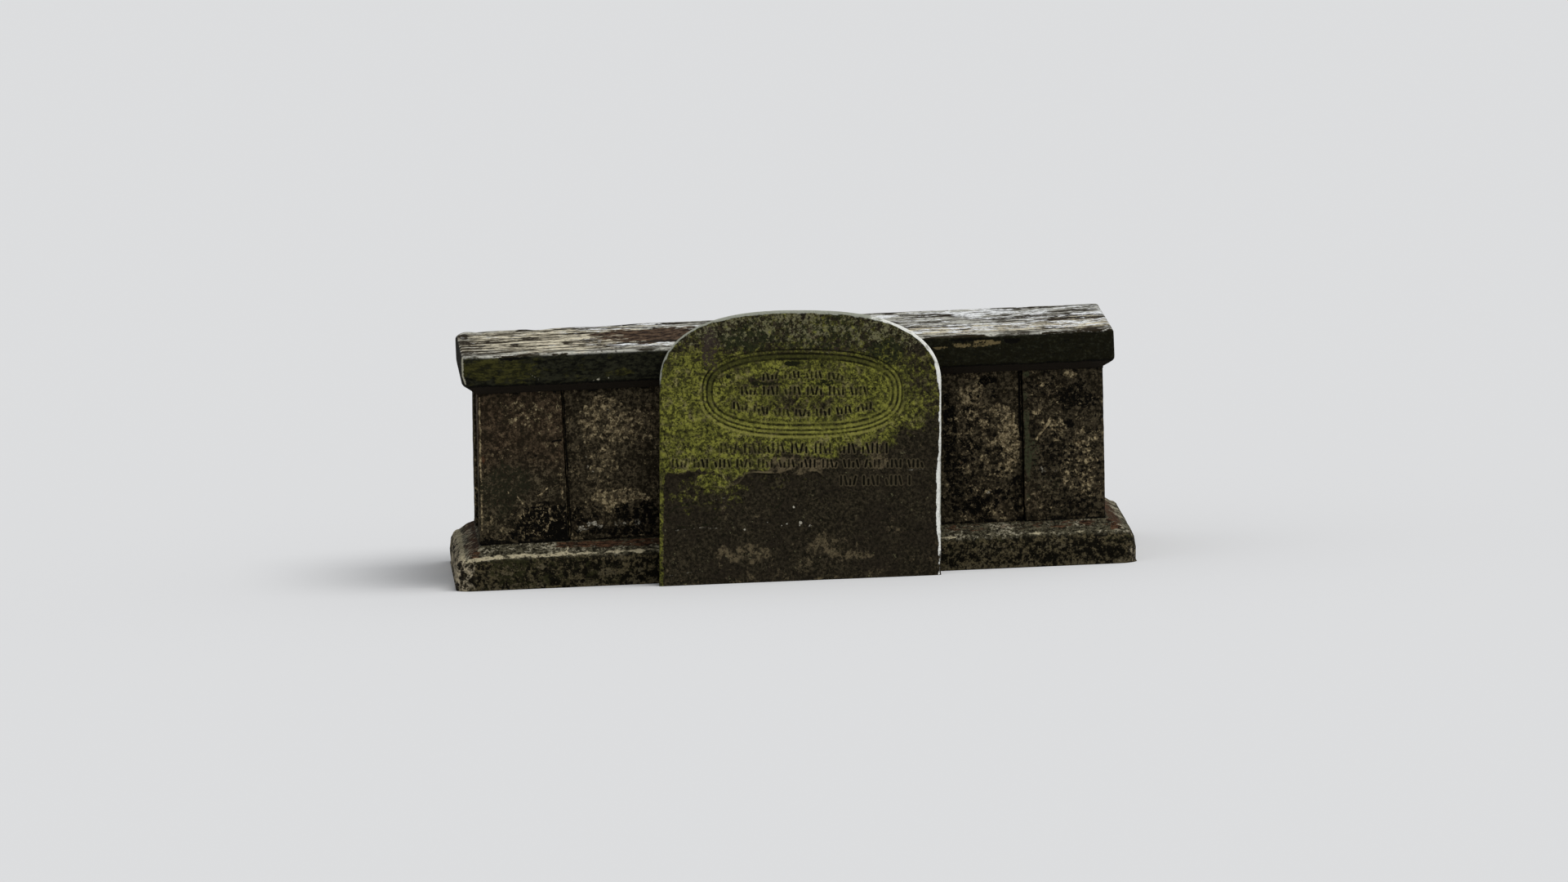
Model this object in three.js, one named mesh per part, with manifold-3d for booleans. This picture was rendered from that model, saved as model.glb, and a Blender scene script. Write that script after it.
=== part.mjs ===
// A sandstone box tomb with a round-headed gravestone leaning on its front.
// Millimetres, +Z up, X along the tomb, the front faces -Y, and z = 0 is the flat underside at the ground.
import * as THREE from 'three';
import { mergeVertices } from 'three/addons/utils/BufferGeometryUtils.js';
import Module from 'manifold-3d';

const wasm = await Module();
wasm.setup();

// Ledger: the lid slab.
const ledgerLength = 2010;
const ledgerWidth = 864;
const ledgerTop = 722;
const fasciaHeight = 97;
const undercutHeight = 25;
const ledgerOverhang = 40;
const ledgerCorner = 14;

// Chest: four corner piers with panels set back between them.
const wallLength = ledgerLength - 2 * ledgerOverhang;
const wallWidth = ledgerWidth - 2 * ledgerOverhang;
const pierDepth = 200;
// Width of each pier at its top and at its foot.
const pierWidths = {
  front_left: { top: 260, foot: 277 },
  front_right: { top: 252, foot: 250 },
  back_left: { top: 256, foot: 256 },
  back_right: { top: 256, foot: 256 },
};
const panelRecess = 20;
const panelThickness = 90;
const chestRack = 11;
const stoneArris = 5;

// Plinth: its top falls from the walls to a worn nose.
const plinthTop = 134;
const plinthReach = 84;
const plinthNose = 62;
const plinthFall = 30;
const plinthCorner = 58;

// Gravestone: an upright slab with a flattened round head, leaning back on the ledger.
const stoneWidth = 866;
const stoneShoulder = 589;
const stoneRise = 235;
const stoneThickness = 76;
const stoneEdge = 11;
const headRoundness = 2.5;
const stoneBuried = 90;
const stoneCentre = 7;
const stoneStandOff = 68;
const leanBack = 4.6;
const leanAside = 2.4;
const turnOut = 1.5;

// Sunken oval tablet of the gravestone.
const ovalCentre = { u: 6, v: 573 };
const ovalHalf = { u: 308, v: 132 };
const ovalRoundness = 2.6;
const ovalSteps = 64;
// Each ring of its moulding: distance in from the rim, and depth below the face.
const ovalMoulding = [[0, 0], [2.5, 3.5], [6, 0.8], [10, 0.8], [13, 4], [16, 3], [28, 6.5], [31, 8], [34, 6]];
const fieldDepth = 6;

// Inscription rows: centre height, left and right end, stroke height, number of strokes and rise of the ends.
const strokeRows = [
  { v: 627, left: -120, right: 135, height: 17, count: 19, bow: -10, depth: fieldDepth },
  { v: 577, left: -186, right: 205, height: 22, count: 29, bow: 0, depth: fieldDepth },
  { v: 509, left: -210, right: 222, height: 18, count: 34, bow: 24, depth: fieldDepth },
  { v: 401, left: -250, right: 272, height: 27, count: 36, bow: 0, depth: 0 },
  { v: 354, left: -398, right: 380, height: 20, count: 59, bow: 0, depth: 0 },
  { v: 302, left: 118, right: 342, height: 25, count: 16, bow: 0, depth: 0 },
];
const strokeWidth = 4.5;
const strokeDepth = 2;
const strokeSlant = 14;
const shortStroke = 0.6;

// The face has flaked away below an irregular edge: its outline on the face, and its depth at the left and right.
const flakeEdge = [
  [-420, 412], [-400, 362], [-384, 320], [-330, 322], [-326, 283], [-222, 281], [-186, 296], [-168, 322],
  [-70, 326], [-22, 335], [55, 328], [96, 296], [112, 230], [150, 120], [190, 0],
];
const flakeDepth = 4.5;
const flakeThin = 0.5;

const jointGap = 0.4;
const degrees = Math.PI / 180;

const wallTop = ledgerTop - fasciaHeight - undercutHeight;
const stoneFoot = -ledgerWidth / 2 - stoneStandOff;
const bedJoint = jointGap / 2;

function sandstone(colour, roughness = 0.95) {
  return new THREE.MeshStandardMaterial({ color: colour, roughness, metalness: 0 });
}

// A loft through level rounded rectangles, each given by its height, its four sides and its corner radius.
function courseGeometry(levels, cornerSteps) {
  const positions = [];
  const faces = [];
  const ringSize = 4 * (cornerSteps + 1);
  for (const { z, left, right, front, back, radius } of levels) {
    const centres = [
      [right - radius, back - radius], [left + radius, back - radius],
      [left + radius, front + radius], [right - radius, front + radius],
    ];
    centres.forEach(([x, y], corner) => {
      for (let step = 0; step <= cornerSteps; step++) {
        const angle = (corner + step / cornerSteps) * Math.PI / 2;
        positions.push(x + radius * Math.cos(angle), y + radius * Math.sin(angle), z);
      }
    });
  }
  for (let level = 0; level < levels.length - 1; level++) {
    for (let i = 0; i < ringSize; i++) {
      const a = level * ringSize + i;
      const b = level * ringSize + (i + 1) % ringSize;
      faces.push(a, b, b + ringSize, a, b + ringSize, a + ringSize);
    }
  }
  const lastRing = (levels.length - 1) * ringSize;
  for (let i = 1; i < ringSize - 1; i++) {
    faces.push(0, i + 1, i);
    faces.push(lastRing, lastRing + i, lastRing + i + 1);
  }
  const geometry = new THREE.BufferGeometry();
  geometry.setAttribute('position', new THREE.Float32BufferAttribute(positions, 3));
  geometry.setIndex(faces);
  geometry.computeVertexNormals();
  return geometry;
}

// A course around the chest: each profile step is a reach beyond the walls and a height.
function profiledCourse(profile, cornerRadius, cornerSteps) {
  const widest = Math.max(...profile.map(([reach]) => reach));
  const levels = profile.map(([reach, z]) => ({
    z,
    left: -wallLength / 2 - reach,
    right: wallLength / 2 + reach,
    front: -wallWidth / 2 - reach,
    back: wallWidth / 2 + reach,
    radius: Math.max(cornerRadius - (widest - reach), stoneArris),
  }));
  return courseGeometry(levels, cornerSteps);
}

// Sideways shift of the racked chest at a height: its top has moved towards +X.
function rackAt(z) {
  return chestRack * ((z - plinthTop) / (wallTop - plinthTop) - 0.5);
}

// An upright block of the chest. Its sides are given at the foot and at the top.
function chestBlock(foot, top, front, back) {
  const levels = [[plinthTop + bedJoint, foot], [wallTop - bedJoint, top]].map(([z, [left, right]]) => ({
    z,
    left: left + rackAt(z),
    right: right + rackAt(z),
    front,
    back,
    radius: stoneArris,
  }));
  return courseGeometry(levels, 2);
}

function plinthGeometry() {
  const noseTop = plinthTop - plinthFall;
  return profiledCourse([
    [plinthReach, 0],
    [plinthReach + 2, 45],
    [plinthReach - 3, noseTop - 26],
    [plinthNose + 10, noseTop - 9],
    [plinthNose, noseTop],
    [plinthNose - 12, noseTop + 5],
    [0, plinthTop],
  ], plinthCorner, 6);
}

function ledgerGeometry() {
  const fasciaFoot = ledgerTop - fasciaHeight;
  return profiledCourse([
    [0, wallTop],
    [ledgerOverhang - 6, fasciaFoot - 3],
    [ledgerOverhang - 1, fasciaFoot + 3],
    [ledgerOverhang, fasciaFoot + 12],
    [ledgerOverhang, ledgerTop - 10],
    [ledgerOverhang - 3, ledgerTop - 3],
    [ledgerOverhang - 9, ledgerTop],
  ], ledgerCorner, 4);
}

function solidOf(geometry) {
  const plain = geometry.clone();
  plain.deleteAttribute('normal');
  plain.deleteAttribute('uv');
  const merged = mergeVertices(plain, 1e-3);
  return new wasm.Manifold(new wasm.Mesh({
    numProp: 3,
    vertProperties: new Float32Array(merged.attributes.position.array),
    triVerts: new Uint32Array(merged.index.array),
  }));
}

function geometryOf(solid) {
  const { vertProperties, triVerts } = solid.getMesh();
  const geometry = new THREE.BufferGeometry();
  geometry.setAttribute('position', new THREE.Float32BufferAttribute(vertProperties, 3));
  geometry.setIndex(Array.from(triVerts));
  geometry.computeVertexNormals();
  return geometry;
}

// Places a shape drawn on the stone's face, u to the right and v up, with its depth running into the stone.
const faceToStone = new THREE.Matrix4().makeRotationX(Math.PI / 2);

// A point of the flattened round curve |x|^n + |y|^n = 1 at an angle.
function roundedPoint(angle, halfU, halfV, roundness) {
  const c = Math.cos(angle);
  const s = Math.sin(angle);
  return [
    halfU * Math.sign(c) * Math.abs(c) ** (2 / roundness),
    halfV * Math.sign(s) * Math.abs(s) ** (2 / roundness),
  ];
}

function stoneBody() {
  const half = stoneWidth / 2 - stoneEdge;
  const outline = [new THREE.Vector2(-half, -stoneBuried), new THREE.Vector2(half, -stoneBuried)];
  const headSteps = 36;
  for (let step = 0; step <= headSteps; step++) {
    const [u, v] = roundedPoint(Math.PI * step / headSteps, half, stoneRise - stoneEdge, headRoundness);
    outline.push(new THREE.Vector2(u, stoneShoulder + v));
  }
  const slab = new THREE.ExtrudeGeometry(new THREE.Shape(outline), {
    depth: stoneThickness - 2 * stoneEdge,
    bevelEnabled: true,
    bevelSize: stoneEdge,
    bevelThickness: stoneEdge,
    bevelSegments: 2,
  });
  return slab.translate(0, 0, stoneEdge).applyMatrix4(faceToStone);
}

// The hollow of the tablet: rings of the moulding joined from the rim down to the sunken field.
function ovalHollow() {
  const clearOfFace = 8;
  const rings = [[0, -clearOfFace], ...ovalMoulding];
  const positions = [];
  const faces = [];
  for (const [inward, depth] of rings) {
    for (let step = 0; step < ovalSteps; step++) {
      const angle = 2 * Math.PI * (step + 0.5) / ovalSteps;
      const [u, v] = roundedPoint(angle, ovalHalf.u - inward, ovalHalf.v - inward, ovalRoundness);
      positions.push(ovalCentre.u + u, ovalCentre.v + v, stoneThickness - depth);
    }
  }
  for (let ring = 0; ring < rings.length - 1; ring++) {
    for (let step = 0; step < ovalSteps; step++) {
      const a = ring * ovalSteps + step;
      const b = ring * ovalSteps + (step + 1) % ovalSteps;
      faces.push(a, b + ovalSteps, b, a, a + ovalSteps, b + ovalSteps);
    }
  }
  const lastRing = (rings.length - 1) * ovalSteps;
  for (let step = 1; step < ovalSteps - 1; step++) {
    faces.push(0, step, step + 1);
    faces.push(lastRing, lastRing + step + 1, lastRing + step);
  }
  const geometry = new THREE.BufferGeometry();
  geometry.setAttribute('position', new THREE.Float32BufferAttribute(positions, 3));
  geometry.setIndex(faces);
  return geometry.applyMatrix4(faceToStone);
}

// The slant of a stroke by its place in the row: most are upright, some lean left and a few lean right.
function slantOf(i) {
  if (i % 3 === 1) {
    return strokeSlant * degrees;
  }
  return i % 7 === 3 ? -strokeSlant * degrees : 0;
}

// One row of plain separate strokes in groups of four, every fourth one short, bowed up or down at its ends.
function strokeRow(row) {
  const strokes = [];
  for (let i = 0; i < row.count; i++) {
    if (i % 5 === 4) {
      continue;
    }
    const along = (i + 0.5) / row.count;
    const u = row.left + along * (row.right - row.left);
    const height = i % 4 === 2 ? row.height * shortStroke : row.height;
    const v = row.v + row.bow * (2 * along - 1) ** 2 - (row.height - height) / 2;
    const cut = new THREE.BoxGeometry(strokeWidth, height, 2 * strokeDepth);
    cut.rotateZ(slantOf(i)).translate(u, v, stoneThickness - row.depth);
    strokes.push(cut.applyMatrix4(faceToStone));
  }
  return strokes;
}

// The flaked lower face: a shallow cut that runs out to nothing towards the right.
function flakeCut() {
  const [firstU] = flakeEdge[0];
  const lastU = flakeEdge[flakeEdge.length - 1][0];
  const clearOfFace = 40;
  const outline = [...flakeEdge, [firstU, 0]].map(([u, v]) => new THREE.Vector2(u, v));
  const cut = new THREE.ExtrudeGeometry(new THREE.Shape(outline), { depth: clearOfFace, bevelEnabled: false });
  const fade = Math.atan2(flakeDepth - flakeThin, lastU - firstU);
  cut.translate(-firstU, 0, 0).rotateY(-fade).translate(firstU, 0, stoneThickness - flakeDepth);
  return cut.applyMatrix4(faceToStone);
}

function headstoneGeometry() {
  const cuts = [ovalHollow(), flakeCut(), ...strokeRows.flatMap(strokeRow)];
  let stone = solidOf(stoneBody());
  for (const cut of cuts) {
    stone = stone.subtract(solidOf(cut));
  }
  const stance = new THREE.Matrix4().makeRotationFromEuler(
    new THREE.Euler(-leanBack * degrees, leanAside * degrees, -turnOut * degrees, 'ZXY'));
  stance.setPosition(stoneCentre, stoneFoot, 0);
  const ground = new THREE.BoxGeometry(2 * stoneWidth, 2 * stoneWidth, 2 * stoneBuried);
  ground.translate(0, stoneFoot, -stoneBuried);
  const standing = geometryOf(stone).applyMatrix4(stance);
  return geometryOf(solidOf(standing).subtract(solidOf(ground)));
}

const tomb = new THREE.Group();
tomb.name = 'box_tomb';

function addStone(name, geometry, material) {
  const mesh = new THREE.Mesh(geometry, material);
  mesh.name = name;
  tomb.add(mesh);
  return mesh;
}

addStone('plinth', plinthGeometry(), sandstone(0x4a4638));
addStone('ledger', ledgerGeometry(), sandstone(0x8f8a78, 0.9));

const halfLength = wallLength / 2;
const halfWidth = wallWidth / 2;

for (const [corner, width] of Object.entries(pierWidths)) {
  const atLeft = corner.endsWith('left');
  const atFront = corner.startsWith('front');
  const sides = (across) => (atLeft ? [-halfLength, across - halfLength] : [halfLength - across, halfLength]);
  const depth = atFront ? [-halfWidth, pierDepth - halfWidth] : [halfWidth - pierDepth, halfWidth];
  addStone(`pier_${corner}`, chestBlock(sides(width.foot), sides(width.top), ...depth), sandstone(0x3d352a));
}

for (const face of ['front', 'back']) {
  const leftPier = pierWidths[`${face}_left`];
  const rightPier = pierWidths[`${face}_right`];
  const between = (level) => [
    leftPier[level] - halfLength + jointGap,
    halfLength - rightPier[level] - jointGap,
  ];
  const outer = halfWidth - panelRecess;
  const depth = face === 'front' ? [-outer, panelThickness - outer] : [outer - panelThickness, outer];
  addStone(`panel_${face}`, chestBlock(between('foot'), between('top'), ...depth), sandstone(0x453c30));
}

for (const end of ['left', 'right']) {
  const outer = halfLength - panelRecess;
  const sides = end === 'left' ? [-outer, -outer + panelThickness] : [outer - panelThickness, outer];
  const reach = halfWidth - pierDepth - jointGap;
  addStone(`panel_end_${end}`, chestBlock(sides, sides, -reach, reach), sandstone(0x413a2f));
}

addStone('headstone', headstoneGeometry(), sandstone(0x4d5228));

export default tomb;
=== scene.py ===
import math

import bpy
import numpy as np
from mathutils import Matrix, Vector


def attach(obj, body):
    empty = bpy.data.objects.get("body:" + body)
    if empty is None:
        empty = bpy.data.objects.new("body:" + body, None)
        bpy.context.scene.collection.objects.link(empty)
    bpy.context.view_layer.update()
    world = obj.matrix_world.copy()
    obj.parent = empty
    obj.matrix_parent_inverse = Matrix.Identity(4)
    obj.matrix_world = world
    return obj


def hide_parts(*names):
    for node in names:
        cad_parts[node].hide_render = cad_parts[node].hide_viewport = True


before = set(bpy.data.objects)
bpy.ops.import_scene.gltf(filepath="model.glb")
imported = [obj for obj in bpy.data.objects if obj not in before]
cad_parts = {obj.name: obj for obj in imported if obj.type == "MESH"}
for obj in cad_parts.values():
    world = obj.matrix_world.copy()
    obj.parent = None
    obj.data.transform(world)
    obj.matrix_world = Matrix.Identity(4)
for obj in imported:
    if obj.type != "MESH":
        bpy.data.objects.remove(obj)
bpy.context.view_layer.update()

mm = 0.001


# Noise and curves on whole arrays of points

randomTable = np.random.default_rng(4181).random(1 << 16)
scrambleX, scrambleY, scrambleZ, scrambleSeed = 92837111, 689287499, 283923481, 7919
noiseSpread = 1.6  # brings a sum of octaves to about -1 to 1
weldReach = 2e-6  # points closer than this are one


def latticeNoise(points, cell, seed):
    # Random values at the corners of cubes of one cell, blended by 3t^2 - 2t^3 between them: 0 to 1.
    scaled = points / cell
    corner = np.floor(scaled).astype(np.int64)
    blend = scaled - corner
    blend = blend * blend * (3 - 2 * blend)
    total = np.zeros(len(points))
    for cx in (0, 1):
        for cy in (0, 1):
            for cz in (0, 1):
                key = (corner[:, 0] + cx) * scrambleX ^ (corner[:, 1] + cy) * scrambleY
                key ^= (corner[:, 2] + cz) * scrambleZ ^ seed * scrambleSeed
                weight = np.abs(1 - cx - blend[:, 0]) * np.abs(1 - cy - blend[:, 1])
                weight = weight * np.abs(1 - cz - blend[:, 2])
                total += weight * randomTable[key & (len(randomTable) - 1)]
    return total


def roughNoise(points, size, seed, octaves=4, stretch=(1, 1, 1), gain=0.5):
    # Octaves of lattice noise, each half the size and gain times the height of the last: about -1 to 1.
    pulled = points / np.array(stretch)
    total = np.zeros(len(points))
    height = 1.0
    heights = 0.0
    for octave in range(octaves):
        total += height * (2 * latticeNoise(pulled + 13.7 * octave, size / 2 ** octave, seed + octave) - 1)
        heights += height
        height *= gain
    return total / heights * noiseSpread


def raisedNoise(*place, **kind):
    # Rough noise halved and raised to run from about 0 to 1.
    return 0.5 * roughNoise(*place, **kind) + 0.5


def ridgeNoise(points, size, seed, octaves, stretch):
    # One minus the absolute value of the noise: sharp lines where it crosses zero, 0 to 1.
    return 1 - np.clip(np.abs(roughNoise(points, size, seed, octaves, stretch)) * 1.6, 0, 1)


def smooth(low, high, value):
    # Eases from 0 at low to 1 at high by 3t^2 - 2t^3.
    t = np.clip((value - low) / (high - low), 0, 1)
    return t * t * (3 - 2 * t)


def terraces(value, steps, sharpness=0.12):
    # Turns a smooth height into flat shelves with short steep edges.
    scaled = value * steps
    shelf = np.floor(scaled)
    return (shelf + smooth(1 - sharpness, 1, scaled - shelf)) / steps


def spots(a, b, places, points, seed):
    # Strongest of a list of soft ellipses (middle a, middle b, half a, half b, strength).
    # The distance to each is frayed by noise.
    fray = 0.45 * roughNoise(points, 0.035, seed, 4, gain=0.7)
    total = np.zeros(len(points))
    for middleA, middleB, halfA, halfB, strength in places:
        far = np.hypot((a - middleA) / halfA, (b - middleB) / halfB) + fray
        total = np.maximum(total, strength * smooth(1.2, 0.65, far))
    return total


def toPath(a, b, path):
    # Shortest distance from each point to a line through the given corners.
    nearest = np.full(len(a), 1e3)
    for (a0, b0), (a1, b1) in zip(path[:-1], path[1:]):
        square = (a1 - a0) ** 2 + (b1 - b0) ** 2
        t = np.clip(((a - a0) * (a1 - a0) + (b - b0) * (b1 - b0)) / square, 0, 1)
        nearest = np.minimum(nearest, np.hypot(a - a0 - t * (a1 - a0), b - b0 - t * (b1 - b0)))
    return nearest


def scars(a, b, paths, points, seed):
    # Strongest of a list of lines (half width, strength, corners), shaken off straight by noise.
    shake = 2.5  # millimetres
    shakenA = a + shake * roughNoise(points, 0.03, seed, 3)
    shakenB = b + shake * roughNoise(points, 0.03, seed + 5, 3)
    total = np.zeros(len(points))
    for halfWidth, strength, path in paths:
        far = toPath(shakenA, shakenB, path)
        total = np.maximum(total, strength * smooth(halfWidth, 0.35 * halfWidth, far))
    return total


# Surfaces

def sweepColumns(counts, cornerSteps):
    # One column per sample round a rounded rectangle: its place along X and Y between the corner centres,
    # then its normal.
    columns = []
    sides = [((1, 0), (1, 1)), ((1, 1), (0, 1)), ((0, 1), (0, 0)), ((0, 0), (1, 0))]
    for turn, ((startP, startQ), (endP, endQ)) in enumerate(sides):
        count = counts[turn]
        facing = turn * math.pi / 2
        t = np.arange(1, count) / count
        ones = np.ones(count - 1)
        across = [startP + (endP - startP) * t, startQ + (endQ - startQ) * t,
                  math.cos(facing) * ones, math.sin(facing) * ones]
        angle = facing + np.arange(cornerSteps + 1) / cornerSteps * math.pi / 2
        ones = np.ones(cornerSteps + 1)
        corner = [endP * ones, endQ * ones, np.cos(angle), np.sin(angle)]
        columns += [np.stack(across, axis=1), np.stack(corner, axis=1)]
    return np.concatenate(columns)


def sweptRows(columns, z, left, right, front, back, radius):
    # Each row is the rounded rectangle at one height: corner centre plus radius times the column's normal.
    p, q, nx, ny = (columns[:, k][None, :] for k in range(4))
    left, right, front, back, radius = (np.broadcast_to(np.asarray(v, float), z.shape)[:, None]
                                        for v in (left, right, front, back, radius))
    x = left + radius + p * (right - left - 2 * radius) + radius * nx
    y = front + radius + q * (back - front - 2 * radius) + radius * ny
    return np.stack([x, y, np.broadcast_to(z[:, None], x.shape)], axis=2)


def gridTriangles(rows, columns, wraps, start=0):
    # Two triangles for each cell of a grid, with the last column joined to the first when it wraps.
    i = np.arange(rows - 1)[:, None]
    j = np.arange(columns if wraps else columns - 1)[None, :]
    a = i * columns + j
    b = i * columns + (j + 1) % columns
    c, d = b + columns, a + columns
    cells = np.stack([a, b, c, d], axis=2).reshape(-1, 4) + start
    return np.concatenate([cells[:, [0, 1, 2]], cells[:, [0, 2, 3]]])


def welded(points, triangles):
    # Joins points that share a place and drops the triangles that close up.
    keys = np.round(points / weldReach).astype(np.int64)
    _, first, inverse = np.unique(keys, axis=0, return_index=True, return_inverse=True)
    triangles = inverse.reshape(-1)[triangles]
    a, b, c = triangles.T
    return points[first], triangles[(a != b) & (b != c) & (a != c)]


def pointNormals(points, triangles):
    # Sum of the area vectors of the triangles round each point, made unit length.
    a, b, c = (points[triangles[:, k]] for k in range(3))
    area = np.cross(b - a, c - a)
    total = np.stack([sum(np.bincount(triangles[:, k], weights=area[:, axis], minlength=len(points))
                          for k in range(3)) for axis in range(3)], axis=1)
    return total / np.maximum(np.linalg.norm(total, axis=1, keepdims=True), 1e-12)


def placed(name, data):
    # A new object in the scene, at the origin.
    item = bpy.data.objects.new(name, data)
    bpy.context.scene.collection.objects.link(item)
    return item


def makePiece(name, points, triangles, material, marks):
    # The arrays as a smooth mesh, with each mark as an attribute of its points. It stands for the node
    # of its own name.
    mesh = bpy.data.meshes.new(name)
    mesh.from_pydata(points.tolist(), [], triangles.tolist())
    mesh.polygons.foreach_set("use_smooth", np.ones(len(mesh.polygons), dtype=bool))
    for mark, values in marks.items():
        layer = mesh.attributes.new(mark, "FLOAT", "POINT")
        layer.data.foreach_set("value", np.broadcast_to(values, len(points)).astype(np.float32))
    mesh.materials.append(material)
    mesh.update()
    piece = placed(name, mesh)
    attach(piece, "root")
    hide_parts(name)
    print(f"{name}: {len(triangles)} triangles")


# Material nodes

stoneFinish = {"Roughness": 0.94, "Specular IOR Level": 0.06}


class NodeKit:
    # Short names for the nodes that the stones share. A tone is a socket, a colour, or a name in the look.
    def __init__(self, name, look):
        self.look = look
        self.material = bpy.data.materials.new(name)
        self.material.use_nodes = True
        self.tree = self.material.node_tree
        self.shader = self.tree.nodes["Principled BSDF"]
        self.place = self.tree.nodes.new("ShaderNodeTexCoord").outputs["Object"]

    def link(self, value, socket):
        # Joins a socket, or sets a number or colour.
        if isinstance(value, bpy.types.NodeSocket):
            self.tree.links.new(value, socket)
        else:
            socket.default_value = value

    def mark(self, name):
        # A mark of the piece, read back at each point.
        node = self.tree.nodes.new("ShaderNodeAttribute")
        node.attribute_name = name
        return node.outputs["Fac"]

    def noise(self, size, detail, roughness, shift=0.0):
        # Noise whose features are about size metres across, or one size for each axis.
        mapping = self.tree.nodes.new("ShaderNodeMapping")
        mapping.vector_type = "TEXTURE"
        mapping.inputs["Location"].default_value = (shift, 2 * shift, 3 * shift)
        mapping.inputs["Scale"].default_value = size if isinstance(size, tuple) else (size, size, size)
        self.link(self.place, mapping.inputs["Vector"])
        node = self.tree.nodes.new("ShaderNodeTexNoise")
        node.inputs["Scale"].default_value = 1.0
        node.inputs["Detail"].default_value = detail
        node.inputs["Roughness"].default_value = roughness
        self.link(mapping.outputs["Vector"], node.inputs["Vector"])
        return node.outputs["Fac"]

    def sums(self, operation, *values):
        # One step of arithmetic on two or three values, or on one.
        node = self.tree.nodes.new("ShaderNodeMath")
        node.operation = operation
        for value, socket in zip(values, node.inputs):
            self.link(value, socket)
        return node.outputs["Value"]

    def between(self, value, low, high, start=0.0, end=1.0):
        # Eases from start to end while the value goes from low to high.
        node = self.tree.nodes.new("ShaderNodeMapRange")
        node.interpolation_type = "SMOOTHSTEP"
        self.link(value, node.inputs["Value"])
        for socket, number in zip(("From Min", "From Max", "To Min", "To Max"), (low, high, start, end)):
            node.inputs[socket].default_value = number
        return node.outputs["Result"]

    def cover(self, noise, amount, edge):
        # Patches of the noise that spread as the amount grows: none at 0, half the surface at 0.5, all at 1.
        return self.between(self.sums("MULTIPLY_ADD", amount, 0.5 + 2 * edge, noise), 0.75, 0.75 + 2 * edge)

    def line(self, distance, middle, halfWidth):
        # A thin line where a distance equals its middle value.
        off = self.sums("ABSOLUTE", self.sums("SUBTRACT", distance, middle))
        return self.between(off, 0.3 * halfWidth, halfWidth, 1.0, 0.0)

    def blend(self, amount, first, second):
        # The first tone where the amount is 0, the second where it is 1.
        node = self.tree.nodes.new("ShaderNodeMix")
        node.data_type = "RGBA"
        self.link(amount, node.inputs["Factor"])
        for tone, socket in ((first, node.inputs[6]), (second, node.inputs[7])):
            tone = self.look[tone] if isinstance(tone, str) else tone
            self.link((*tone, 1) if isinstance(tone, tuple) else tone, socket)
        return node.outputs[2]

    def mottle(self, size, tone, low, high, shift=0.0):
        # A tone and its dark form parted by fine noise.
        return self.blend(self.between(self.noise(size, 4, 0.72, shift), low, high), tone + "Dark", tone)

    def cloud(self, colour, tone, size, detail, roughness, shift, low, high, most):
        # Broad patches of a tone, as strong as most.
        amount = self.between(self.noise(size, detail, roughness, shift), low, high, 0.0, most)
        return self.blend(amount, colour, tone)

    def grow(self, colour, mark, size, edge, shift, tone=None):
        # A tone, by default the one named like the mark, spreads in patches of the size as the mark grows.
        amount = self.cover(self.noise(size, 5, 0.72, shift), self.mark(mark), edge)
        return self.blend(amount, colour, tone or mark)

    def paint(self, colour):
        # The look's marks laid on grain by grain.
        for order, (mark, tone) in enumerate(self.look["marks"].items()):
            colour = self.grow(colour, mark, 0.009, 0.10, 10.3 + 1.7 * order, tone)
        return colour

    def grit(self, colour, dark, size, shift):
        # Dark crumbs between the grains.
        return self.blend(self.between(self.noise(size, 4, 0.72, shift), 0.36, 0.50, 0.85, 0.0), colour, dark)

    def bump(self, height, strength, distance, below=None):
        # Relief as high as the distance where the height is 1, over the relief below.
        node = self.tree.nodes.new("ShaderNodeBump")
        node.inputs["Strength"].default_value = strength
        node.inputs["Distance"].default_value = distance
        self.link(height, node.inputs["Height"])
        if below is not None:
            self.link(below, node.inputs["Normal"])
        return node.outputs["Normal"]

    def grain(self, fine, coarse, below=None):
        # Gritty relief: lumps of 16 mm under grains of 6 mm.
        normal = self.bump(self.noise(0.016, 5, 0.70), coarse, 0.012, below)
        return self.bump(self.noise(0.006, 3, 0.65), fine, 0.004, normal)

    def finish(self, colour, normal):
        self.link(colour, self.shader.inputs["Base Color"])
        self.link(normal, self.shader.inputs["Normal"])
        for socket, value in stoneFinish.items():
            self.shader.inputs[socket].default_value = value
        return self.material


# Chest blocks

chest = {
    "top": 0.600,
    "foot": 0.134,
    "rack": 0.011,
    "halfLength": 0.965,
    "halfWidth": 0.392,
    "recess": 0.020,
    "arris": 0.005,
    "pierDepth": 0.200,
    "panelThickness": 0.090,
    "jointGap": 0.0004,
    "bedGap": 0.0002,
    "cornerSteps": 3,
}
# Width of each pier at its foot and at its top
pierWidths = {
    "pier_front_left": (0.277, 0.260),
    "pier_front_right": (0.250, 0.252),
    "pier_back_left": (0.256, 0.256),
    "pier_back_right": (0.256, 0.256),
}
# First seed of each block's noise
blockSeeds = {
    "pier_front_left": 100,
    "pier_front_right": 107,
    "pier_back_left": 114,
    "pier_back_right": 121,
    "panel_front": 160,
    "panel_back": 171,
    "panel_end_left": 180,
    "panel_end_right": 191,
}
chestLook = {
    "warmDark": (0.022, 0.0145, 0.008),
    "warm": (0.125, 0.086, 0.050),
    "coolDark": (0.015, 0.0115, 0.0062),
    "cool": (0.112, 0.089, 0.052),
    "shade": (0.017, 0.0135, 0.0075),
    "paleDark": (0.115, 0.086, 0.046),
    "pale": (0.50, 0.40, 0.225),
    "pits": (0.0036, 0.0030, 0.0020),
    "marks": {
        "dim": (0.022, 0.021, 0.011),
        "green": (0.055, 0.058, 0.030),
        "rust": (0.085, 0.038, 0.018),
        "white": (0.55, 0.51, 0.40),
        # Near black for dark marks and lines, and for painted shade under the lid and towards the foot.
        "darkMarksAndShade": (0.0045, 0.0038, 0.0027),
    },
}
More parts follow.
